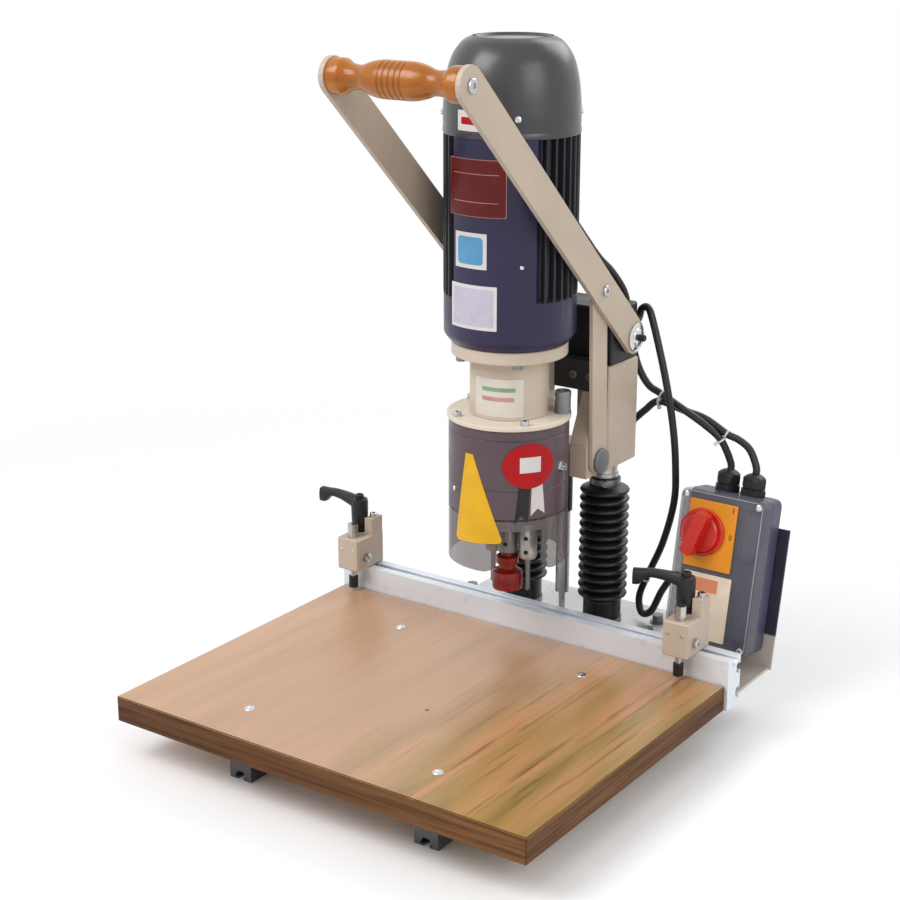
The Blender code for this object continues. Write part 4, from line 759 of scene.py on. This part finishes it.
def head():
    lid, neck, flange, top = 355.6, 361.5, 429.8, 444.2
    cap = soften(mm((9.3, lid), (70, lid, 0.4), (71, lid + 0.5, 0.5), (71, neck - 1, 1),
                    (69.8, neck - 0.3, 0.8), (9.3, neck - 0.3)), 3)
    lathe("gear_cap", cap, CREAM_PALE, "head", AXIS, steps=112, nodes=["gearbox_lid"], slot="cream_paint",
          sharp=50)
    post = mm((0, neck), (9.4, neck), (9, neck + 1.5), (9, 380), (9.3, 380.3), (9.3, 386.2), (8.4, 387.2),
              (6.2, 387.2), (6.2, 385.2), (0, 385.2))
    lathe("lid_post", post, DULL, "head", (0.055, HEAD_Y + 0.027, 0), steps=48)
    # The bell and its web wear the darker cream, painted shade under the motor.
    bell = soften(mm((20, neck), (45.8, neck, 0.5), (45, neck + 3, 2), (45, flange - 6, 5), (49, flange, 2),
                     (65, flange, 0.8), (66, flange + 1, 0.8), (66, 443, 0.8), (65, top, 0.8), (9.8, top),
                     (9.8, 415), (20, 415)), 3)
    lathe("bell", bell, CREAM_BELL_SHADED, "head", AXIS, steps=112, nodes=["bell_housing"], slot="cream_paint",
          sharp=50)
    prism("bell_web", patch(-0.014, 0.014, 0.0052, 0.0397), "Z", 0.37, 0.412, CREAM_BELL_SHADED, "head", bevel=0.001)
    bolts = around((-123, -41, 25, 97, 167), 0.064, 0.3611, UP, 0.0048, 0.0056)
    screws("lid_screws", bolts, ROD, "head")
    bolts = around((-125, -48, 42, 132), 0.0585, 0.43, (0, 0, -1), 0.0058, 0.0056, 0.5, "hex")
    screws("flange_bolts", bolts, DULL, "head")
    case = [(0, 250), (66.8, 250), (69, 252.2)]
    for z in (285, 344):
        case += [(69, z - 1), (68.3, z - 0.4), (68.3, z + 0.4), (69, z + 1)]
    case += [(69, 354.6), (68.4, 355.3), (60, 355.3), (60, 262), (0, 262)]
    lathe("gear_case", mm(*case), GEARBOX, "head", AXIS, steps=128, nodes=["gearbox_housing"],
          slot="gearbox_paint", sharp=28)
    guard()
    spots = around([2], 0.0688, 0.306, None, 0.0048, 0.0048, 0.5, "hex", 0.0068)
    screws("case_screws", spots + around([-118], 0.0688, 0.278, None, 0.003, 0.0018), CHROME, "head")
    motor()
    labels()
    cover()


def guard():
    """A thin curved wall with its corner window, open below."""
    bm = bmesh.new()
    steps = 120
    low, high, lip = 0.188, 0.2497, 0.238
    half = degrees(asin(0.026 / 0.0678))
    start, end = -45 + half, -45 - half + 360

    def rounded(index):
        near = min(index, steps - index)
        return 0.012 * (1 - sqrt(1 - (1 - near / 6) ** 2)) if near < 6 else 0.0

    def wall(angles, bottoms):
        rings = []
        for angle, bottom in zip(angles, bottoms):
            rows = [(0.0665, bottom), (0.0665, high), (DRUM, high), (DRUM, bottom)]
            rings.append([bm.verts.new(on_head(angle, radius, z)[0]) for radius, z in rows])
        join(bm, rings, capped=True)

    wall([start + (end - start) * step / steps for step in range(steps + 1)],
         [low + rounded(step) for step in range(steps + 1)])
    wall([end - 360 + (start - end + 360) * step / 24 for step in range(25)], [lip] * 25)
    bmesh.ops.remove_doubles(bm, verts=bm.verts, dist=0.00001)
    put("guard", bm, GUARD, "head", ["chip_guard"], "clear_guard", sharp=40)


def motor():
    foot, shoulder, top = 0.4445, 0.5, 0.6765
    low, high, panel = -113.0, -35.0, 26
    plain = [(low + (high - low) * step / panel, CASING) for step in range(panel + 1)]
    finned = plain[:]
    pitch = (360 - (high - low)) / 31
    wide = pitch * 0.42 / 2
    fin = [(-wide - 1.2, 0.0672), (-wide, 0.0676), (-wide * 0.6, 0.0744), (-wide * 0.3, 0.075),
           (wide * 0.3, 0.075), (wide * 0.6, 0.0744), (wide, 0.0676), (wide + 1.2, 0.0672)]
    for count in range(1, 31):
        plain += [(high + pitch * count + turn, CASING) for turn, _ in fin]
        finned += [(high + pitch * count + turn, size) for turn, size in fin]
    rows = [(plain, foot, -0.009), (plain, foot + 0.0008, -0.0082), (plain, foot + 0.004, -0.005),
            (plain, foot + 0.008, -0.0018), (plain, foot + 0.012, 0), (plain, shoulder, 0),
            (finned, shoulder + 0.004, 0), (finned, top - 0.004, 0), (finned, top, 0)]
    bm = bmesh.new()
    rings = [[bm.verts.new(on_head(angle, size + shrink, z)[0]) for angle, size in ring]
             for ring, z, shrink in rows]
    for z in (top, foot):
        rings.append([bm.verts.new(on_head(angle, 0.052, z)[0]) for angle, _ in plain])
    for index, face in enumerate(join(bm, rings, closed=True)):
        row, step = divmod(index, len(plain))
        face.material_index = 1 if step > panel and row in (5, 6, 7) else 0
    put("motor_body", bm, (MOTOR, FINS), "head", ["motor_housing"], "motor_paint", sharp=30)
    screws("motor_screw", around([-47.4], 0.0744, 0.5411, None, 0.0022, 0.001), CHROME, "head")
    places = [((x, 0.0851, z), (0, 1, 0), 0.0034, 0.0022) for x in (-0.068, -0.012) for z in (0.552, 0.618)]
    screws("terminal_screws", places, CHROME, "head")
    gland = mm((0, -4.8), (9.2, -4.8), (9.2, 3), (7, 4.2), (6.4, 10.5), (4.3, 12.5), (0, 12.5))
    lathe("terminal_gland", gland, BLACK_PLASTIC, "head", (-0.0048, 0.07, 0.575), "X", 32)


def labels():
    """The labels on the motor, the neck and the gearbox, with no text."""
    upper = (0.0006, 0.0002)
    label("panel_border", patch(-117.5, -60.5, 0.594, 0.6555, 0.002), CASING, ROSE)
    label("panel_plate", patch(-116.8, -61.2, 0.5946, 0.6549, 0.002), CASING, RED, *upper)
    for name, bottom, top in (("panel_line_low", 0.6095, 0.6102), ("panel_line_high", 0.6395, 0.6402)):
        label(name, patch(-111, -67, bottom, top), CASING, ROSE, 0.0009, 0.0002)
    label("white_patch", patch(-109.5, -77, 0.5375, 0.5765, 0.001), CASING, PAPER)
    label("blue_patch", patch(-106, -80.5, 0.542, 0.572, 0.004), CASING, BLUE, *upper)
    label("pale_patch", patch(-115, -68, 0.4705, 0.5195, 0.001), CASING, PAPER)
    label("pale_field", patch(-112, -71, 0.4745, 0.5155, 0.001), CASING, LILAC, *upper)
    label("neck_patch", patch(-112, -36, 0.365, 0.409, 0.002), NECK, NECK_LABEL)
    label("neck_bar_high", patch(-98, -48, 0.3945, 0.399), NECK, GREEN, *upper)
    label("neck_bar_low", patch(-98, -50, 0.3835, 0.388), NECK, ROSE, *upper)
    tall = [(-100.5, 0.3255), (-92.0, 0.3255), (-62.5, 0.2285), (-63.5, 0.225), (-66.0, 0.2235),
            (-111.0, 0.2185), (-113.5, 0.2205), (-114.5, 0.224)]
    label("yellow_patch", tall, DRUM, YELLOW_LABEL)
    disc = [(-36.8 + 25.9 * cos(2 * pi * step / 40), 0.315 + 0.0262 * sin(2 * pi * step / 40))
            for step in range(40)]
    label("red_disc", disc, DRUM, RED_BRIGHT, 0.0006)
    label("disc_field", patch(-46.5, -26, 0.3075, 0.3255), DRUM, PAPER, 0.0011, 0.0002)
    ribbon = [(-46.5, 0.296), (-36, 0.293), (-38, 0.248), (-44.6, 0.2571), (-51, 0.247)]
    label("ribbon_left", ribbon, DRUM, BLACK_PLASTIC)
    ribbon = [(-34.5, 0.293), (-23.5, 0.296), (-20.5, 0.257), (-28.3, 0.264), (-35.5, 0.256)]
    label("ribbon_right", ribbon, DRUM, PAPER)


def cover():
    low, high, base, wide = 676.8, 779, 655, 75.2
    tall = high - base
    dome = through([(0.1758, 1.0), (0.25, 1.0), (0.4, 1.0), (0.63, 0.965), (0.82, 0.88), (0.945, 0.74),
                    (1.0, 0.6)])
    outer = [(wide * share, base + tall * up) for up, share in dome[2:-1]]
    outer += [(wide * 0.6, high - 0.3)]
    rim = [(43.5, high), (41.5, high), (40, high - 1.2), (38.5, high - 3.6), (0, high - 3.6)]
    inner = [(0, high - 6.6), (40, high - 6.6)]
    inner += [(72.2 * share, base + (tall - 7) * up) for up, share in reversed(dome[2:])]
    lip = [(wide, low), (75.6, low + 0.6), (75.6, low + 5.5), (wide, low + 6.5)]
    lathe("cover", mm(*lip, *outer, *rim, *inner, (72.4, low)), COVER, "head", AXIS, steps=128,
          nodes=["fan_cover"], slot="slate_paint", sharp=32)
    # A lighter ring laid over the cover's own rim lip: painted highlight where the rim catches the light.
    edge = mm((39.5, high - 2), (44.5, high - 0.6), (44, high), (41.5, high))
    lathe("cover_rim_highlight", edge, COVER_TOP_AND_RIM_HIGHLIGHT, "head", AXIS, steps=96)
    disc = mm((0, high - 3.7), (38.6, high - 3.7), (38.6, high - 3.1), (12, high - 2.9), (10, high - 2.2),
              (0, high - 2.2))
    lathe("cover_disc", disc, COVER_TOP_AND_RIM_HIGHLIGHT, "head", AXIS, steps=96)
    places = around((-52, 38, 128, -142), 0.075, 0.6988, None, 0.0034, 0.0024, 0.5, "dome")
    screws("cover_screws", places, CHROME, "head")
    label("arrow_patch", patch(-106, -83, 0.6845, 0.706, 0.001), DOME, PAPER)
    label("arrow_field", patch(-102, -87, 0.6915, 0.699, 0.002), DOME, RED_BRIGHT, 0.0006, 0.0002)


# Spindles and bits

def spindles():
    own("centre_spindle left_spindle right_spindle left_bit right_bit", DULL)
    bm = bmesh.new()
    rows = mm((0, 142.5), (1.6, 145.5), (3, 146.2), (15, 146.2), (15.2, 145.2), (17.2, 145), (17.5, 145.8),
              (17.5, 164), (16.8, 166), (12, 169), (10.4, 170), (10.4, 175.2), (12.8, 175.6), (13, 176.2),
              (13, 184), (12.4, 184.6), (8, 185), (8, 189.7), (0, 189.7))
    turned(bm, rows, AXIS, "Z", 64)
    corners = mm((0, 144.8), (8.3, 144.3), (8.3, 161), (0, 165.5))
    for turn in (20, 200):
        start, out = on_head(turn, 0.0095, 0)
        side = Vector((-out.y, out.x, 0))
        slab(bm, *[[bm.verts.new(start + out * along + side * depth + Vector((0, 0, z)))
                    for along, z in corners] for depth in (0.0016, -0.0004)])
    put("cup_cutter", bm, RED_BIT, "drive", ["cup_bit"], "red_paint", sharp=30)
    out = Vector((0.34, -0.94, 0))
    places = [(Vector(AXIS) + out * 0.0123 + Vector((0, 0, z)), out, 0.0026, 0.0006) for z in (0.202, 0.224)]
    screws("centre_chuck_screws", places, BLACK_PLASTIC, "drive")
    for side, x, large in (("left", -0.024, 0.0094), ("right", 0.024, 0.0106)):
        place = Vector((x, HEAD_Y + 0.006, 0))
        sleeve = soften([(0.0033, 0.1846), (large - 0.0012, 0.1846, 0.001), (large, 0.1872, 0.002),
                         (large, 0.229, 0.0008), (0.0087, 0.229), (0.0087, 0.1896), (0.0033, 0.1896)], 3)
        lathe(side + "_chuck", sleeve, TUBE, side + "_drive", place, steps=48)
        places = [(place + out * (large - 0.0002) + Vector((0, 0, z)), out, 0.0026, 0.0007)
                  for z in (0.1945, 0.2115)]
        screws(side + "_chuck_screws", places, BLACK_PLASTIC, side + "_drive")


# Stops

def stops():
    own("left_stop_block right_stop_block", CREAM)
    own("left_stop_pin right_stop_pin", ROD)
    own("left_pin_tip right_pin_tip", RUBBER)
    for side, x, turn in (("left", -0.248, 0.0), ("right", 0.217, 20.0)):
        places = [((x + 0.0103, 0.017, 0.168), UP, 0.0046, 0.0052),
                  ((x - 0.016, 0.004, 0.129), (-1, 0, 0), 0.0042, 0.0046),
                  ((x + 0.016, -0.007, 0.1215), (1, 0, 0), 0.0058, 0.005, 0.3, "dome")]
        places += [((x + sign * 0.0085, -0.024, 0.133), (0, -1, 0), 0.0022, 0.0006) for sign in (-1, 1)]
        screws(side + "_stop_screws", places, ROD, side + "_stop")
        hub = Vector((x - 0.006, 0.01, 0))
        seat = 0.1479
        bm = bmesh.new()
        rows = mm((0, 0), (7.4, 0), (7.8, 0.8), (7.8, 7.5), (9.8, 10.5), (10.4, 15), (10.8, 30),
                  (10.8, 39.5), (10, 42.8), (6.2, 44), (5.6, 44), (5.6, 48), (5, 48.6), (3, 48.6), (3, 47),
                  (0, 47))
        turned(bm, shifted(rows, 1, seat), hub, "Z", 40)
        out = outward(180 + turn)
        cross = Vector((-out.y, out.x, 0))
        spine = through(mm((0, 35.5, 9.6, 7), (12, 39.5, 8.5, 6.2), (26, 42.5, 7, 5.2),
                           (40, 43.5, 6.4, 4.8), (47.5, 41.5, 6.6, 6.2), (53, 38.5, 6.8, 9),
                           (60.5, 38, 6.4, 9.4)), 5)
        rings = []
        for along, up, wide, tall in spine:
            ring = []
            for k in range(16):
                a = 2 * pi * k / 16
                u = copysign(abs(cos(a)) ** 0.6, cos(a)) * wide
                v = copysign(abs(sin(a)) ** 0.6, sin(a)) * tall
                ring.append(bm.verts.new(hub + out * along + cross * u + Vector((0, 0, seat + up + v))))
            rings.append(ring)
        join(bm, rings, capped=True)
        put(side + "_clamp_handle", bm, BLACK_PLASTIC, side + "_clamp", [side + "_clamp_lever"],
            "black_plastic", sharp=38)


# Switch box

LEAN = Matrix.Rotation(-radians(11), 3, "X")
BOX = Vector((0.203, 0.075, 0.077))
GLANDS = (("left", -0.013), ("right", 0.02))
GLAND_Y = 0.036


def boxed(point):
    """A point of the switch box's own frame, in the layout."""
    return LEAN @ Vector(point) + BOX


def shell(bm, outline, near, far, wall, floor):
    """A rounded tray: open towards far, closed at near."""
    half, middle = 0.054, 0.0925

    def ring(across, up, depth):
        return [bm.verts.new((x * across, depth, middle + (z - middle) * up)) for x, z in outline]

    across, up = (half - wall) / half, (middle - wall) / middle
    outside = [ring(1, 1, far), ring(1, 1, near + 0.0012), ring(0.985, 0.99, near)]
    inside = [ring(across, up, near + floor), ring(across, up, far)]
    join(bm, outside)
    join(bm, inside + outside[:1])
    bm.faces.new(outside[-1])
    bm.faces.new(inside[0][::-1])


def switch_box():
    outline = rectangle((-0.0535, 0.0535), (0.0005, 0.1845), 0.01)
    prism("box_case", outline, "Y", 0.022, 0.05, BOX_CASE, "base", nodes=["switch_box_base"],
          slot="black_plastic", bevel=0.0035, segments=3, lean=True)
    bm = bmesh.new()
    shell(bm, rectangle((-0.054, 0.054), (0.0, 0.185), 0.01), 0.0, 0.0217, 0.0025, 0.0025)
    put("box_cover", bm, LID, "base", ["switch_box_lid"], "smoke_lid", sharp=35, lean=True)
    bm = bmesh.new()
    pushed(bm, rectangle((-0.0508, 0.0508), (0.0035, 0.1815), 0.008), "Y", 0.019, 0.0219)
    for x, z, wide, tall, depth in ((-0.03, 0.045, 0.016, 0.03, 0.007), (0.004, 0.04, 0.013, 0.024, 0.01),
                                    (0.036, 0.06, 0.008, 0.045, 0.006), (0.036, 0.14, 0.009, 0.026, 0.011),
                                    (-0.008, 0.132, 0.026, 0.034, 0.014), (0.03, 0.176, 0.018, 0.003, 0.012)):
        block = rectangle((x - wide, x + wide), (z - tall, z + tall), 0.002)
        pushed(bm, block, "Y", 0.0192 - depth, 0.0192, 1)
    put("box_inner_frame", bm, (INSIDE, DEVICE), "base", sharp=30, lean=True)
    # A pale bead round the lid's rim: painted highlight along the lid's edges.
    bm = bmesh.new()
    rim = rectangle((-0.052, 0.052), (0.002, 0.183), 0.009)
    core = [(x * 0.976, 0.0925 + (z - 0.0925) * 0.986) for x, z in rim]
    for k in range(len(rim)):
        after = (k + 1) % len(rim)
        pushed(bm, [rim[k], rim[after], core[after], core[k]], "Y", -0.0009, -0.0002)
    bmesh.ops.remove_doubles(bm, verts=bm.verts, dist=0.00001)
    put("lid_highlight_bead", bm, LID_EDGE_HIGHLIGHT, "base", sharp=30, lean=True)
    prism("switch_face", rectangle((-0.04, 0.0215), (0.0945, 0.1745), 0.002), "Y", -0.0023, -0.0003, YELLOW,
          "base", nodes=["switch_plate"], slot="yellow_plastic", bevel=0.0004, lean=True)
    bm = bmesh.new()
    x, z, tall = 0.0165, 0.137, 0.003
    for k in range(20):
        a, b = 2 * pi * k / 20, 2 * pi * (k + 1) / 20
        ring = [(x + size * 0.6 * cos(t), z + size * sin(t)) for size, t in
                ((tall, a), (tall, b), (tall * 0.66, b), (tall * 0.66, a))]
        pushed(bm, ring, "Y", -0.0026, -0.0022)
    z, tall = 0.1685, 0.0034
    pushed(bm, patch(x - 0.0005, x + 0.0005, z - tall, z + tall), "Y", -0.0026, -0.0022)
    put("switch_marks", bm, BLACK_PLASTIC, "base", sharp=30, lean=True)
    bm = bmesh.new()
    pushed(bm, rectangle((-0.036, 0.0245), (0.011, 0.0885), 0.0015), "Y", -0.0006, -0.0002)
    pushed(bm, rectangle((-0.033, 0.008), (0.067, 0.083), 0.001), "Y", -0.0009, -0.0005, 1)
    put("box_label", bm, (IVORY, ORANGE), "base", sharp=30, lean=True)
    x, z = -0.019, 0.137
    bm = bmesh.new()
    rows = mm((0, -2.6), (27.4, -2.6), (28, -3.2), (28, -5.8), (26.8, -6.8), (24.4, -6.8), (23.8, -6.2),
              (23.2, -6.2), (22.8, -11), (21, -12.8), (15, -13.2), (0, -13.2))
    turned(bm, rows, (x, 0, z), "Y", 72)
    grip = soften(mm((-8, -26.5, 4), (8, -26.5, 4), (7.4, 0, 6), (8, 26.5, 4), (-8, 26.5, 4),
                     (-7.4, 0, 6)), 4)
    turn = radians(-18)
    grip = [(a * cos(turn) - b * sin(turn), a * sin(turn) + b * cos(turn)) for a, b in grip]
    pushed(bm, [(x + a, z + b) for a, b in grip], "Y", -0.0278, -0.012)
    put("knob", bm, RED_KNOB, "knob", ["switch_knob"], "red_plastic", bevel=0.0012, segments=3, lean=True)
    front = LEAN @ Vector((0, -1, 0))
    places = [(boxed((x, -0.0002, z)), front, 0.004, 0.0026, 0.4, "dome")
              for x in (-0.0465, 0.0465) for z in (0.0075, 0.1775)]
    screws("box_screws", places, CHROME, "base")
    rows = mm((0, 185.1), (15.8, 185.1), (15.8, 191.5), (14, 192.3), (12.4, 192.8), (12.4, 193.4),
              (14.8, 194.1), (14.8, 203), (13.4, 205.2), (10, 208.2), (6.6, 210), (0, 210))
    for side, x in GLANDS:
        lathe(side + "_cable_gland", rows, BLACK_PLASTIC, "base", (x, GLAND_Y, 0), "Z", 36, (1, 2, 6, 7),
              nodes=[side + "_gland"], slot="black_plastic", sharp=35, lean=True)
    own("box_bracket", BRACKET, 0.0004)


# Cables

def tie(bm, at, ahead, radius):
    """A cable tie round the leads at a point."""
    start = len(bm.verts)
    outer = radius + 0.001
    faces = turned(bm, soften([(radius, -0.0012, 0.0002), (outer, -0.0012, 0.0004), (outer, 0.0012, 0.0004),
                               (radius, 0.0012, 0.0002)], 2), steps=24)
    faces += pushed(bm, patch(radius, radius + 0.005, -0.002, 0.002), "Z", -0.0018, 0.0018)
    stand(bm, start, at, ahead)
    for face in faces:
        face.material_index = 1


def lead(name, points, node, ties, between=None):
    """A lead along its route, straight at both ends."""
    bm = bmesh.new()
    tube(bm, through(points, 7), 0.0044, 16)
    for index in ties:
        tie(bm, points[index], Vector(points[index + 1]) - Vector(points[index - 1]), 0.0046)
    piece = put(name, bm, (CABLE, NYLON), "base", [node], "rubber", sharp=50, ride=between is None)
    if between:
        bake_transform(piece)


def cables():
    rise = 0.012
    ends = {side: [boxed((x, GLAND_Y, 0.2056 + up)) for up in (rise, 0)] for side, x in GLANDS}
    route = mm((-4.7, 70, 575), (7.3, 70, 575), (31, 100, 522), (44, 114, 501), (56, 125, 474),
               (60, 131, 436), (70.1, 134, 391.7), (85.3, 135, 366.8), (104.3, 135.5, 357.4),
               (133.1, 135, 343.9), (161.1, 138, 328.4), (179.7, 144, 311.8))
    lead("motor_lead", route + ends["left"], "motor_cable", (8, 11),
         ("head", "base", HOME + Vector((0.0103, 0.072, 0.57)), HOME + Vector(route[-1])))
    route = mm((68, 122.3, 320), (68, 134.3, 320), (81.1, 137.5, 333.3), (98.4, 139.5, 346.9),
               (128.2, 144.5, 339.6), (157.1, 148, 332.6), (184.9, 148.5, 319), (198, 154, 312.6),
               (211.5, 156.5, 302.1))
    lead("sensor_lead", route + ends["right"], "sensor_cable", (3, 6),
         ("head", "base", HOME + Vector((0.07, 0.135, 0.322)), HOME + Vector(route[-1])))
    route = mm((72.5, 118.3, 446), (72.5, 130.3, 446), (76, 131, 458), (85, 130, 460), (95, 126, 443),
               (115, 121, 385), (128, 121, 326), (130, 128, 273), (126, 135, 226), (110, 140, 169),
               (88, 141, 117), (81, 139, 92), (88, 134, 75), (104, 129, 83), (120, 125, 115))
    last = [boxed((-0.0543 - out, GLAND_Y, 0.07)) for out in (rise, 0)]
    lead("stop_lead", route + last, "stop_cable", (10,))
    boot = mm((0, 0), (8.2, 0), (8.2, 3.5), (6, 5), (5.2, 11), (4.2, 11.8), (0, 11.8))
    lathe("beam_boot", boot, BLACK_PLASTIC, "base", (0.0725, 0.1181, 0.446), "Y", 32)
    lathe("slide_boot", boot, BLACK_PLASTIC, "head", (0.068, 0.1221, 0.32), "Y", 32)


studio()
table()
lift()
lever()
head()
spindles()
stops()
switch_box()
cables()
own("cooling_fan", BLACK_PLASTIC)
own("stator_winding", COPPER)
